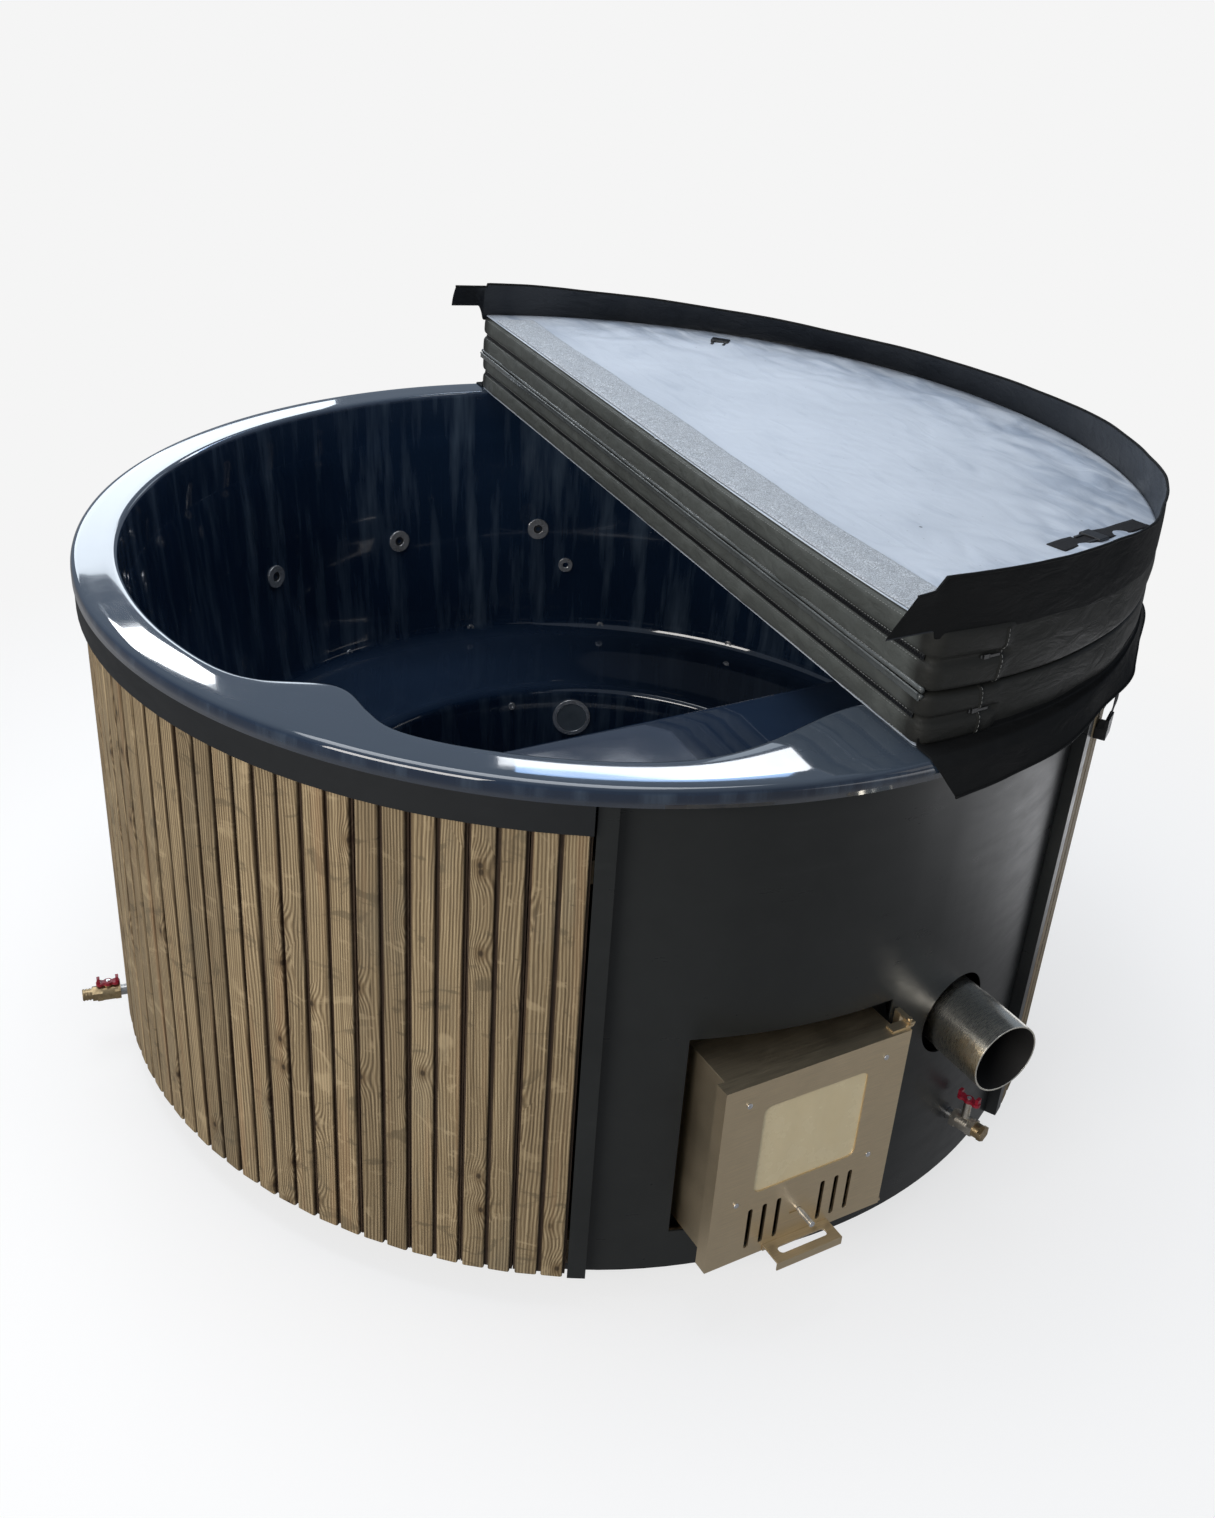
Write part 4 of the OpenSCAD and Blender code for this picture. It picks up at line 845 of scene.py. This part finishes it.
def joined(parts):
    """One list of points and one of faces from several."""
    verts, faces = [], []
    for v, f in parts:
        start = len(verts)
        verts += [tuple(q) for q in v]
        faces += [tuple(start + k for k in g) for g in f]
    return verts, faces


def build_welt(upper):
    """Shiny piping along the fold edge of one half."""
    tag, place = half_of(upper)
    half = math.sqrt((PANEL_R - 0.004) ** 2 - 0.0055 ** 2)
    y = np.linspace(-half, half, 260)
    path = np.stack([0.0052 + 0.0006 * np.sin(y * 9), y, THICK - 0.0047 + 0.0005 * np.sin(y * 23)], axis=1)
    v, f = tube_along(path, 0.0038, 12)
    o = mesh_object(tag + "_welt", place(v), f, MATERIALS["hinge_vinyl"])
    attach(o, "cover_" + tag)


STITCH, STITCH_GAP, THREAD_R = 0.0052, 0.0026, 0.00055
STITCH_SHAPE = np.array([0.5, 1, 1.05, 1, 0.5])
ZIP_HALF = 0.915


def stitch_run(path, out):
    """Thread stitches lying along a path, each a small bent capsule. out: unit vectors off the cloth."""
    step = np.linalg.norm(np.diff(path, axis=0), axis=1)
    dist = np.concatenate([[0], np.cumsum(step)])
    t = np.linspace(0, 1, len(STITCH_SHAPE))
    rise = 0.0006 * np.sin(math.pi * t) - 0.0001
    parts = []
    for start in np.arange(0.002, dist[-1] - STITCH, STITCH + STITCH_GAP):
        at = start + t * STITCH
        on = np.stack([np.interp(at, dist, path[:, k]) for k in range(3)], axis=1)
        off = np.stack([np.interp(at, dist, out[:, k]) for k in range(3)], axis=1)
        parts.append(tube_along(on + off * rise[:, None], THREAD_R * STITCH_SHAPE, 5))
    return joined(parts)


def face_line(level, inset, span=0.905):
    """A line along the straight face at a share of its height."""
    y = np.linspace(-span, span, 300)
    z = LINING + (CASE_TOP - LINING) * level
    return np.stack([np.full_like(y, FACE_X - inset), y, np.full_like(y, z)], axis=1)


def build_face_stitches(upper):
    """Four stitch lines along the straight face."""
    tag, place = half_of(upper)
    stitches = []
    for level, inset in ((0.43, 0.0045), (0.57, 0.0045), (0.905, 0.0058), (0.075, 0.0050)):
        line = face_line(level, inset)
        stitches.append(stitch_run(line, np.broadcast_to([-1.0, 0, 0], line.shape)))
    v, f = joined(stitches)
    o = mesh_object(tag + "_stitching", place(v), f, MATERIALS["thread"])
    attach(o, "cover_" + tag)


def build_zip_tape(upper):
    """Tape of the zip, raised a little beside the teeth."""
    tag, place = half_of(upper)
    line = face_line(0.5, 0.0006, ZIP_HALF)
    section = [(0, 0, -0.0056), (-0.0012, 0, -0.0016), (-0.0012, 0, 0.0016), (0, 0, 0.0056)]
    rows = [line + np.array(step) for step in section]
    faces = grid_faces(len(rows), len(line))
    o = mesh_object(tag + "_zip_tape", place(rows).reshape(-1, 3), faces, MATERIALS["zip_tape"])
    modifier(o, "SOLIDIFY", thickness=TAPE_CLOTH, offset=0)
    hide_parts(tag + "_zip")
    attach(o, "cover_" + tag)


CUBE = np.array([[sx, sy, sz] for sx in (-1, 1) for sy in (-1, 1) for sz in (-1, 1)])
CUBE_FACES = [(0, 1, 3, 2), (4, 6, 7, 5), (0, 4, 5, 1), (2, 3, 7, 6), (0, 2, 6, 4), (1, 5, 7, 3)]
TOOTH_PITCH = 0.0032
TOOTH_SIZE = np.array([0.0009, 0.0011, 0.0021])


def build_zip_teeth(upper):
    """Teeth of the zip, every other one a little higher."""
    tag, place = half_of(upper)
    teeth = []
    for k in range(int(2 * ZIP_HALF / TOOTH_PITCH)):
        z = LINING + (THICK - 0.0015) * 0.5 + (0.0010 if k % 2 else -0.0010)
        teeth.append((CUBE * TOOTH_SIZE + [FACE_X - 0.0026, k * TOOTH_PITCH - ZIP_HALF, z], CUBE_FACES))
    v, f = joined(teeth)
    o = mesh_object(tag + "_zip_teeth", place(v), f, MATERIALS["buckle_plastic"], smooth=False)
    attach(o, "cover_" + tag)


def half_disc(spacing, radius, edge):
    """Grid over a half disc as rings of a fan: (points, faces, number of rings, steps across)."""
    rings = int(radius / spacing)
    across = int(math.pi * radius * 0.75 / spacing)
    pts = []
    for i in range(rings + 1):
        r = radius * i / rings
        for j in range(across + 1):
            t = -math.pi / 2 + math.pi * j / across
            x = max(r * math.cos(t), 0)
            pts.append((edge + x * (radius - edge) / radius, r * math.sin(t), 0.0))
    return np.array(pts), grid_faces(rings + 1, across + 1), rings, across


def settle(o, pins, frames, spread, cap):
    """Runs a short cloth simulation in place and keeps its folds; no point moves further than cap."""
    group = o.vertex_groups.new(name="pins")
    group.add(pins, 1.0, "REPLACE")
    # A light, springy sheet without weight that is allowed to grow by spread
    m = o.modifiers.new("Cloth", "CLOTH")
    c = m.settings
    c.vertex_group_mass = "pins"
    c.quality = 6
    c.mass = 0.3
    c.tension_stiffness = c.compression_stiffness = c.shear_stiffness = 8.0
    c.bending_stiffness = 0.6
    c.air_damping = 2
    c.effector_weights.gravity = 0
    c.shrink_min = c.shrink_max = -spread
    m.point_cache.frame_start, m.point_cache.frame_end = 1, frames
    for number in range(1, frames + 1):
        bpy.context.scene.frame_set(number)
    new = read_points(o.evaluated_get(bpy.context.evaluated_depsgraph_get()).data)
    old = read_points(o.data)
    move = new - old
    move *= np.minimum(1, cap / np.maximum(np.linalg.norm(move, axis=1, keepdims=True), 1e-9))
    o.modifiers.remove(m)
    o.vertex_groups.remove(group)
    write_points(o.data, old + move)
    bpy.context.scene.frame_set(1)


def build_lining(upper):
    """Lining sheet under one half's foam: slack, folded toward the edge; only the upper one is simulated."""
    tag, place = half_of(upper)
    pts, faces, rings, across = half_disc(0.011, PANEL_R - 0.002, FACE_X - 0.001)
    rng = np.random.default_rng(3 if upper else 4)
    share = np.hypot(pts[:, 0], pts[:, 1]) / PANEL_R
    pts[:, 2] = LINING - 0.0004 - rng.uniform(0, 0.0004, len(pts))
    slack = np.clip((share - 0.45) / 0.5, 0, 1) * (1 - np.clip((share - 0.93) / 0.06, 0, 1))
    folds = rough(pts, (5, 5, 1), 0.004, 2.2) + rough(pts, (14, 14, 1), 0.0022, 8.1)
    pts[:, 2] = np.clip(pts[:, 2] - np.abs(folds) * slack, -0.012, LINING - 0.0003)
    o = mesh_object(tag + "_lining_sheet", pts, faces, MATERIALS["cover_lining"])
    if upper:
        pins = [i * (across + 1) + j for i in range(rings + 1) for j in range(across + 1)
                if i in (0, rings) or j in (0, across) or (i % 26 == 0 and j % 30 == 0)]
        settle(o, pins, 16, 0.010, 0.007)
    rest = read_points(o.data)
    clear = np.clip((rest[:, 0] - FACE_X - 0.112) / 0.05, 0, 1) if upper else 1.0
    outer = np.clip((np.hypot(rest[:, 0], rest[:, 1]) / PANEL_R - 0.66) / 0.25, 0, 1)
    height = np.abs(rest[:, 2] - LINING + 0.0004) * clear * (0.22 + 0.45 * outer)
    pull = np.abs(rough(rest, (3, 26, 1), 1.0, 5.5)) * np.clip(1 - np.abs(outer - 0.62) / 0.38, 0, 1)
    height += clear * 0.0060 * pull ** 2
    rest[:, 2] = LINING - 0.0004 - height
    write_points(o.data, place(rest))
    modifier(o, "SUBSURF", levels=1, render_levels=1)
    modifier(o, "SOLIDIFY", thickness=LINING_CLOTH, offset=-1)
    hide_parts(tag + "_lining")
    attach(o, "cover_" + tag)


# Seam radius, direction in degrees at which the lower skirt ends, and its drop below the rim
SKIRT_R, SKIRT_END, SKIRT_DROP = PANEL_R + 0.0006, 89.6, 0.062
NEAR_TAB, FAR_TAB = 0.085, 0.078


def build_hem(name, line, place, body, radius=0.0021):
    """Turned and sewn edge that runs along a skirt's free side."""
    v, f = tube_along(line, radius, 8)
    o = mesh_object(name, place(v), f, MATERIALS["skirt_vinyl"])
    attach(o, body)


def outward(points):
    """Horizontal unit vectors away from the fold's middle."""
    return points[:, :2] / np.linalg.norm(points[:, :2], axis=1, keepdims=True)


def build_lower_skirt():
    """Hangs from the lower half's bottom seam over the rim."""
    count, down = 420, 22
    u = np.linspace(-1, 1, count)
    a = u * SKIRT_END
    rad = np.radians(a)
    one = np.ones_like(a)
    p = SKIRT_R
    wave = 0.003 * (1 + np.sin(np.radians(a * 18)))
    rim = -FOLD_X * np.cos(rad) + np.sqrt((RIM_R + 0.0055) ** 2 - (FOLD_X * np.sin(rad)) ** 2)
    o = np.maximum(rim, p + 0.006)
    hem = 0.024 * (1 - np.exp(-((90 - np.abs(a)) / 15) ** 2)) - SKIRT_DROP
    # Radius and height reached at each share of the way from the seam to the hem
    stops = [0.0, 0.12, 0.2, 0.42, 0.52, 0.72, 1.0]
    rs = [p * one, p * one, p + 0.002 * one, p + (o - p) * 0.78, o, o + 0.002 + wave * 0.4, o + 0.005 + wave]
    zs = [0.016 * one, 0.005 * one, 0.0030 * one, 0.0032 * one, -0.006 - 0.1 * (o - p), hem * 0.55, hem]
    rows = []
    for t in np.arange(down + 1) / down:
        k = min(len(stops) - 2, int(np.searchsorted(stops, t, side="right") - 1))
        w = (t - stops[k]) / (stops[k + 1] - stops[k])
        w = w * w * (3 - 2 * w) * 0.5 + w * 0.5
        r, z = rs[k] * (1 - w) + rs[k + 1] * w, zs[k] * (1 - w) + zs[k + 1] * w
        back = np.where(u < 0, 2.6, 1.5) * np.clip(-z / SKIRT_DROP, 0, 1)
        turn = np.radians(u * (SKIRT_END - back))
        rows.append(np.stack([r * np.cos(turn), r * np.sin(turn), z], axis=1))
    flat = np.array(rows).reshape(-1, 3)
    share = np.repeat(np.arange(down + 1) / down, count)
    out = outward(flat)
    push = rough(flat, (6, 6, 3), 0.0045, 4.4) + 0.0022 + rough(flat, (16, 16, 9), 0.0015, 7)
    push = np.clip(push * np.clip((share - 0.5) * 2, 0, 1), -0.0008, None)
    flat[:, :2] += out * push[:, None]
    swell = np.abs(rough(flat, (11, 11, 30), 0.002, 1.1)) * np.clip(1 - share * 2.2, 0, 1)
    flat[:, :2] += out * swell[:, None]
    build_hem("lower_hem", flat[-count:], in_lower, "cover_lower")
    faces = [f[::-1] for f in grid_faces(down + 1, count)]
    o = mesh_object("lower_skirt_cloth", in_lower(flat), faces, MATERIALS["skirt_vinyl"])
    modifier(o, "SOLIDIFY", thickness=SKIRT_CLOTH, offset=-1)
    modifier(o, "SUBSURF", levels=1, render_levels=1)
    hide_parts("lower_skirt")
    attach(o, "cover_lower")


def build_upper_skirt():
    """Stands up round the upturned half, leans in on the far side and runs past the fold as two tabs."""
    arc = np.radians(90) * SKIRT_R
    along = np.concatenate([np.linspace(-arc - NEAR_TAB, -arc - 0.002, 22), np.linspace(-arc, arc, 420),
                            np.linspace(arc + 0.002, arc + FAR_TAB, 20)])
    n, up = len(along), 20
    near, far = along < -arc, along > arc
    past = np.maximum(np.abs(along) - arc, 0)
    a = np.degrees(np.clip(along, -arc, arc) / SKIRT_R)
    lean = 0.050 * np.exp(-((a - 38) / 60) ** 2)
    high = np.where(a < 0, 0.080 + 0.004 * np.clip(-a / 90, 0, 1), 0.080)
    wave = 0.0015 * (1 + np.sin(np.radians(a * 18)))
    bottom = np.where(far, 0.022 * np.clip(past / 0.01, 0, 1), np.where(near, -0.004 * past / NEAR_TAB, 0.0))
    full = np.sqrt(high ** 2 - lean ** 2) * np.where(near, 1 - 0.22 * np.clip(past / 0.03, 0, 1), 1)
    full = full * np.where(far, 0.92, 1)
    rows = []
    for j in range(up + 1):
        if j == 0:
            z, r = np.where(past > 0, -bottom, 0.012), np.full_like(along, SKIRT_R)
        else:
            v = (j - 1) / (up - 1)
            z = -(bottom + (full - bottom) * v)
            r = SKIRT_R - lean * v ** 1.6 + wave * v + np.where(near, 0.012 * (past / NEAR_TAB) * v, 0)
        x = r * np.cos(np.radians(a)) - np.where(near, past * (1 - 0.38 * j / up), past)
        rows.append(np.stack([x, r * np.sin(np.radians(a)), z], axis=1))
    flat = np.array(rows).reshape(-1, 3)
    share = np.repeat(np.arange(up + 1) / up, n)
    push = rough(flat, (5, 5, 3), 0.006, 3.3) + rough(flat, (15, 15, 12), 0.002, 6.1)
    flat[:, :2] += outward(flat) * (push * np.clip(share * 1.2 - 0.1, 0, 1))[:, None]
    flat[:, 2] -= share ** 2 * rough(flat, (4, 4, 0), 0.003, 9.0)
    build_hem("upper_hem", flat[-n:], in_upper, "cover_upper", 0.0026)
    o = mesh_object("upper_skirt_cloth", in_upper(flat), grid_faces(up + 1, n), MATERIALS["skirt_vinyl"])
    o.data.materials.append(MATERIALS["skirt_inside"])
    modifier(o, "SOLIDIFY", thickness=SKIRT_CLOTH, offset=-1, material_offset=1)
    modifier(o, "SUBSURF", levels=1, render_levels=1)
    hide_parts("upper_skirt")
    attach(o, "cover_upper")


def build_fleece():
    """Strip of pile along the straight edge of the upturned lining."""
    half = MOUTH_R - 0.040
    n, m = 360, 20
    y = np.linspace(-half, half, n)
    left = FACE_X + 0.002 + 0.0012 * np.sin(y * 11)
    right = FACE_X + 0.097 + 0.0030 * np.sin(y * 5.1 + 1) + 0.0016 * np.sin(y * 17)
    rows = []
    for t in np.arange(m + 1) / m:
        z = np.full_like(y, -0.0014 - 0.0012 * math.sin(math.pi * t))
        rows.append(np.stack([left + (right - left) * t, y, z], axis=1))
    pts = np.array(rows).reshape(-1, 3)
    inner = np.repeat(np.minimum(np.arange(m + 1), m - np.arange(m + 1)) > 0, n)
    dents = np.abs(rough(pts, (22, 16, 1), 0.0035, 2.0))
    pts[:, 2] -= (dents + np.abs(rough(pts, (90, 90, 1), 0.0009, 5))) * inner
    o = mesh_object("fleece", in_upper(pts), grid_faces(m + 1, n), MATERIALS["fleece"])
    modifier(o, "SOLIDIFY", thickness=FLEECE_CLOTH, offset=-1)
    modifier(o, "SUBSURF", levels=1, render_levels=1)
    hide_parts("fleece_strip")
    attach(o, "cover_upper")


STRAP_W, STRAP_CURL = 0.038, 0.0006
# Direction and inset of each upper strap's start, its heading, and its length
STRAP_SPOTS = [(-56.23, 0.1434, 18.6, 0.280), (53.24, 0.1162, 52.0, 0.044)]
STRAP_AZ = [board_azimuth(i) for i in (0, 20)]


def ribbon(path, side, out):
    """Webbing along a path: side and out are unit vectors across it and off its face."""
    share = np.linspace(-1, 1, 7)
    rows = [path + side * (STRAP_W / 2 * k) + out * (STRAP_CURL * k ** 4) for k in share]
    return np.array(rows).reshape(-1, 3), grid_faces(len(share), len(path))


def heading(degrees):
    """Cosine and sine of a direction."""
    return math.cos(math.radians(degrees)), math.sin(math.radians(degrees))


def build_lower_straps():
    """Straps that hang from the lower half to their sockets on the wall."""
    parts = []
    t = np.linspace(0, 1, 30)
    for az, bow in zip(STRAP_AZ, (0.0032, 0.0024)):
        c, q = heading(az)
        r = 0.9886 + bow * np.sin(math.pi * t) ** 2 + 0.0004 * np.sin(21 * t)
        path = turned(np.stack([r, 0.0012 * np.sin(3 * t), 1.0355 - 0.1165 * t], axis=1), az)
        parts.append(ribbon(path, np.array([-q, c, 0]), np.array([c, q, 0])))
    v, f = joined(parts)
    o = mesh_object("lower_strap_webbing", v, f, MATERIALS["webbing"])
    modifier(o, "SOLIDIFY", thickness=WEB_CLOTH, offset=0)
    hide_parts("lower_straps")
    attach(o, "cover_lower")


def build_upper_straps():
    """Straps that lie loose on the upturned lining."""
    parts = []
    t = np.linspace(0, 1, 40)
    for az, inset, turn, length in STRAP_SPOTS:
        c, q = heading(turn)
        x0, y0 = [(PANEL_R - inset) * k for k in heading(az)]
        wave = 0.0010 * (1 + np.sin(t * length * 60)) * np.sin(math.pi * t)
        drift = 0.0020 * np.sin(t * length * 22)
        x, y = x0 + c * length * t - q * drift, y0 + q * length * t + c * drift
        path = np.stack([x, y, -0.0020 - wave], axis=1)
        parts.append(ribbon(path, np.array([-q, c, 0]), np.array([0, 0, -1.0])))
    v, f = joined(parts)
    o = mesh_object("upper_strap_webbing", in_upper(v), f, MATERIALS["webbing"])
    modifier(o, "SOLIDIFY", thickness=WEB_CLOTH, offset=0)
    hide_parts("upper_straps")
    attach(o, "cover_upper")


def build_hinge_strip():
    """Folded vinyl strip that joins the two halves: a bead along the fold and its sewn tail."""
    half = PANEL_R - 0.006
    y = np.linspace(-half, half, 300)
    # Section across the strip: millimetres from the fold line and above it
    loop = [(2.6, -11.6), (2.7, -6), (2.6, -1.2), (2.1, 0.9), (0.7, 2.0), (-0.8, 1.9), (-1.8, 0.9),
            (-2.0, -0.5), (-1.4, -1.7), (-0.5, -2.4), (-0.5, -6), (-0.5, -11.6)]
    rows = []
    for a, b in loop:
        soft = 0.00022 * np.sin(y * 31 + b) + 0.0003 * np.sin(y * 7.3)
        rows.append(np.stack([a * MM + soft, y, FOLD_Z + b * MM + 0.5 * soft * (b > -8)], axis=1))
    pts = np.array(rows).transpose(1, 0, 2).reshape(-1, 3)
    n = len(loop)
    faces = grid_faces(len(y), n, close_cols=True)
    faces.append(list(range(n)))
    faces.append([(len(y) - 1) * n + k for k in range(n)][::-1])
    o = mesh_object("fold_strip", in_cover(pts), faces, MATERIALS["hinge_vinyl"])
    modifier(o, "SUBSURF", levels=1, render_levels=1)
    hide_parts("hinge_strip")
    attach(o, "cover_lower")


def surface_of(o):
    """Lookup of a built piece's own surface, in the shared frame."""
    v = [q.co.copy() for q in o.data.vertices]
    return BVHTree.FromPolygons(v, [tuple(q.vertices) for q in o.data.polygons])


def on_side(tree, place, az, z, off):
    """Point on the curved side of a case at direction az and height z of that half, and its normal."""
    c, q = heading(az)
    far, near = place([[1.1 * c, 1.1 * q, z], [0.6 * c, 0.6 * q, z]])
    ray = Vector(near) - Vector(far)
    hit, normal, _, _ = tree.ray_cast(Vector(far), ray.normalized())
    if normal.dot(ray) > 0:
        normal = -normal
    return hit + normal * off, normal


def build_side_seam(upper, tree):
    """Vertical lap seam with its stitching on the curved near side."""
    tag, place = half_of(upper)
    levels = np.linspace(0.006, THICK - 0.004, 26)
    lap, sew, off_cloth = [], [], []
    for z in levels:
        az = (-81.6 if upper else -83.0) + 0.15 * math.sin(z * 60)
        for beside, off in ((-0.26, 0.0002), (-0.2, 0.0011), (0.2, 0.0011), (0.26, 0.0002)):
            lap.append(on_side(tree, place, az + beside, z, off)[0])
        at, normal = on_side(tree, place, az, z, 0.0012)
        sew.append(tuple(at))
        off_cloth.append(tuple(normal))
    o = mesh_object(tag + "_side_seam", lap, grid_faces(len(levels), 4), MATERIALS["cover_vinyl"])
    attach(o, "cover_" + tag)
    v, f = stitch_run(np.array(sew), np.array(off_cloth))
    o = mesh_object(tag + "_side_stitch", v, f, MATERIALS["thread"])
    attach(o, "cover_" + tag)


# Blocks of a zip puller: reach along the zip, half width, height off the cloth
PULLER = [((-0.006, 0.006), 0.0042, (0.0, 0.0042)), ((0.004, 0.026), 0.0026, (0.0028, 0.0044)),
          ((-0.011, -0.007), 0.0034, (0.0, 0.0024))]


def build_zip_pullers(upper, tree):
    """The zip's end stop and puller at both ends of the straight face."""
    tag, place = half_of(upper)
    bits = []
    for az in (-83.4, 83.4):
        at, normal = on_side(tree, place, az, THICK * 0.5, 0.0)
        along = Vector((0, 0, 1)).cross(normal).normalized() * (1 if az < 0 else -1)
        rise = normal.cross(along).normalized()
        for reach, wide, lift in PULLER:
            corners = [tuple(at + along * a + rise * b + normal * c)
                       for a in reach for b in (-wide, wide) for c in lift]
            bits.append((corners, CUBE_FACES))
    v, f = joined(bits)
    o = mesh_object(tag + "_zip_puller", v, f, MATERIALS["buckle_plastic"], smooth=False)
    modifier(o, "BEVEL", width=0.0007, segments=2)
    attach(o, "cover_" + tag)


# ---------- Stage, light and camera ----------
BACKDROP = (0.913, 0.913, 0.913)
FLOOR_LIT, FLOOR_GLOW, FLOOR_PLAIN = (0.34, 0.34, 0.34), (0.69, 0.69, 0.69), (0.42, 0.42, 0.42)
SKY, SKY_STRENGTH = (0.70, 0.82, 1.0), 0.30
CAMERA_PLACE, CAMERA_LENS, CAMERA_ROLL = (-1.447, -2.428, 2.135), 36.84, 0.0698
CAMERA_AHEAD, CAMERA_SIDE = (0.4542, 0.7427, -0.4921), (0.8532, -0.5217, 0)


def build_stage():
    """Floor: backdrop grey to the camera, a soft shadow near the tub, a bright lane to what mirrors it."""
    bpy.ops.mesh.primitive_circle_add(vertices=96, radius=14, fill_type="NGON", location=(0, 0, 0))
    floor = bpy.context.object
    floor.name = "floor"
    g = Graph(bpy.data.materials.new("floor"))
    place = g.place()
    far = g.range(g.chain("ShaderNodeVectorMath", place, out=1, operation="LENGTH"), 1.3, 2.6, 0, 1)
    lit = g.chain("ShaderNodeBsdfDiffuse", FLOOR_LIT)
    near = g.chain("ShaderNodeAddShader", lit, g.chain("ShaderNodeEmission", FLOOR_GLOW))
    seen = g.chain("ShaderNodeMixShader", far, near, g.chain("ShaderNodeEmission", BACKDROP))
    across = g.split(place, 0)
    lane = g.times(g.range(across, 1.1, 1.8, 0, 1), g.range(across, 2.2, 2.8, 1, 0))
    mirror = g.chain("ShaderNodeEmission", (0.96, 0.97, 1.0), g.range(lane, 0, 1, 0.24, 1.5))
    plain = g.chain("ShaderNodeBsdfDiffuse", FLOOR_PLAIN)
    gloss = g.chain("ShaderNodeMixShader", g.ray("Is Glossy Ray"), plain, mirror)
    g.finish(g.chain("ShaderNodeMixShader", g.ray("Is Camera Ray"), gloss, seen))
    floor.data.materials.append(g.owner)


def build_world():
    """Backdrop grey to the camera, a dim cool sky to everything else."""
    world = bpy.data.worlds.new("studio")
    bpy.context.scene.world = world
    g = Graph(world, "ShaderNodeOutputWorld")
    sky = g.chain("ShaderNodeBackground", SKY, SKY_STRENGTH)
    seen = g.chain("ShaderNodeBackground", BACKDROP)
    g.finish(g.chain("ShaderNodeMixShader", g.ray("Is Camera Ray"), sky, seen))


def add_light(name, place, target, size, power, colour):
    """A rectangular lamp at place that faces target; size in metres, power in watts."""
    data = bpy.data.lights.new(name, "AREA")
    data.shape = "RECTANGLE"
    data.size, data.size_y = size
    data.energy = power
    data.color = colour
    o = bpy.data.objects.new(name, data)
    bpy.context.scene.collection.objects.link(o)
    o.location = place
    o.rotation_mode = "QUATERNION"
    o.rotation_quaternion = (Vector(target) - Vector(place)).to_track_quat("-Z", "Y")


def build_camera():
    """Camera solved from the photograph: its place, view direction, roll and lens."""
    data = bpy.data.cameras.new("camera")
    data.lens, data.sensor_width = CAMERA_LENS, 36.0
    cam = bpy.data.objects.new("camera", data)
    bpy.context.scene.collection.objects.link(cam)
    ahead = Vector(CAMERA_AHEAD).normalized()
    side = Vector(CAMERA_SIDE).normalized()
    up = side.cross(ahead)
    c, s = math.cos(CAMERA_ROLL), math.sin(CAMERA_ROLL)
    side, up = c * side + s * up, -s * side + c * up
    m = Matrix((side, up, -ahead)).transposed().to_4x4()
    m.translation = Vector(CAMERA_PLACE)
    cam.matrix_world = m
    data.clip_end = 100
    bpy.context.scene.camera = cam


build_boards()
build_liner()
for half_up in (False, True):
    case_tree = surface_of(build_case(half_up))
    build_side_seam(half_up, case_tree)
    build_zip_pullers(half_up, case_tree)
    build_welt(half_up)
    build_face_stitches(half_up)
    build_zip_tape(half_up)
    build_zip_teeth(half_up)
    build_lining(half_up)
build_lower_skirt()
build_upper_skirt()
build_fleece()
build_lower_straps()
build_upper_straps()
build_hinge_strip()
build_stage()
build_world()
add_light("sky", (-0.4, 0.6, 4.8), (0.1, 0, 1.0), (3.2, 3.2), 112, (0.92, 0.955, 1.0))
add_light("door_light", (-5.3, -2.5, 2.9), (0, 0, 0.6), (3.2, 2.4), 195, (1.0, 0.965, 0.92))
add_light("side", (3.4, -4.2, 2.4), (0.2, 0, 0.5), (2.4, 2.4), 10, (1.0, 0.96, 0.92))
add_light("window_left", (0.1, 5.0, 2.7), (-0.5, 0, 1.0), (2.4, 0.8), 21, (0.84, 0.92, 1.0))
add_light("window_right", (4.0, 4.2, 3.5), (0, 0, 1.0), (1.3, 1.5), 7, (0.80, 0.90, 1.0))
add_light("pane_near", (1.77, 2.44, 3.22), (-0.4, -0.84, 1.05), (1.35, 0.20), 5.5, (0.93, 0.96, 1.0))
add_light("pane_blue", (1.84, 2.53, 3.45), (-0.4, -0.84, 1.05), (1.25, 0.22), 4.5, (0.38, 0.60, 1.0))
add_light("pane_left", (-0.02, 3.72, 3.0), (-0.92, -0.25, 1.05), (0.5, 0.26), 6, (0.94, 0.97, 1.0))
build_camera()
bpy.context.scene.view_settings.view_transform = "Standard"
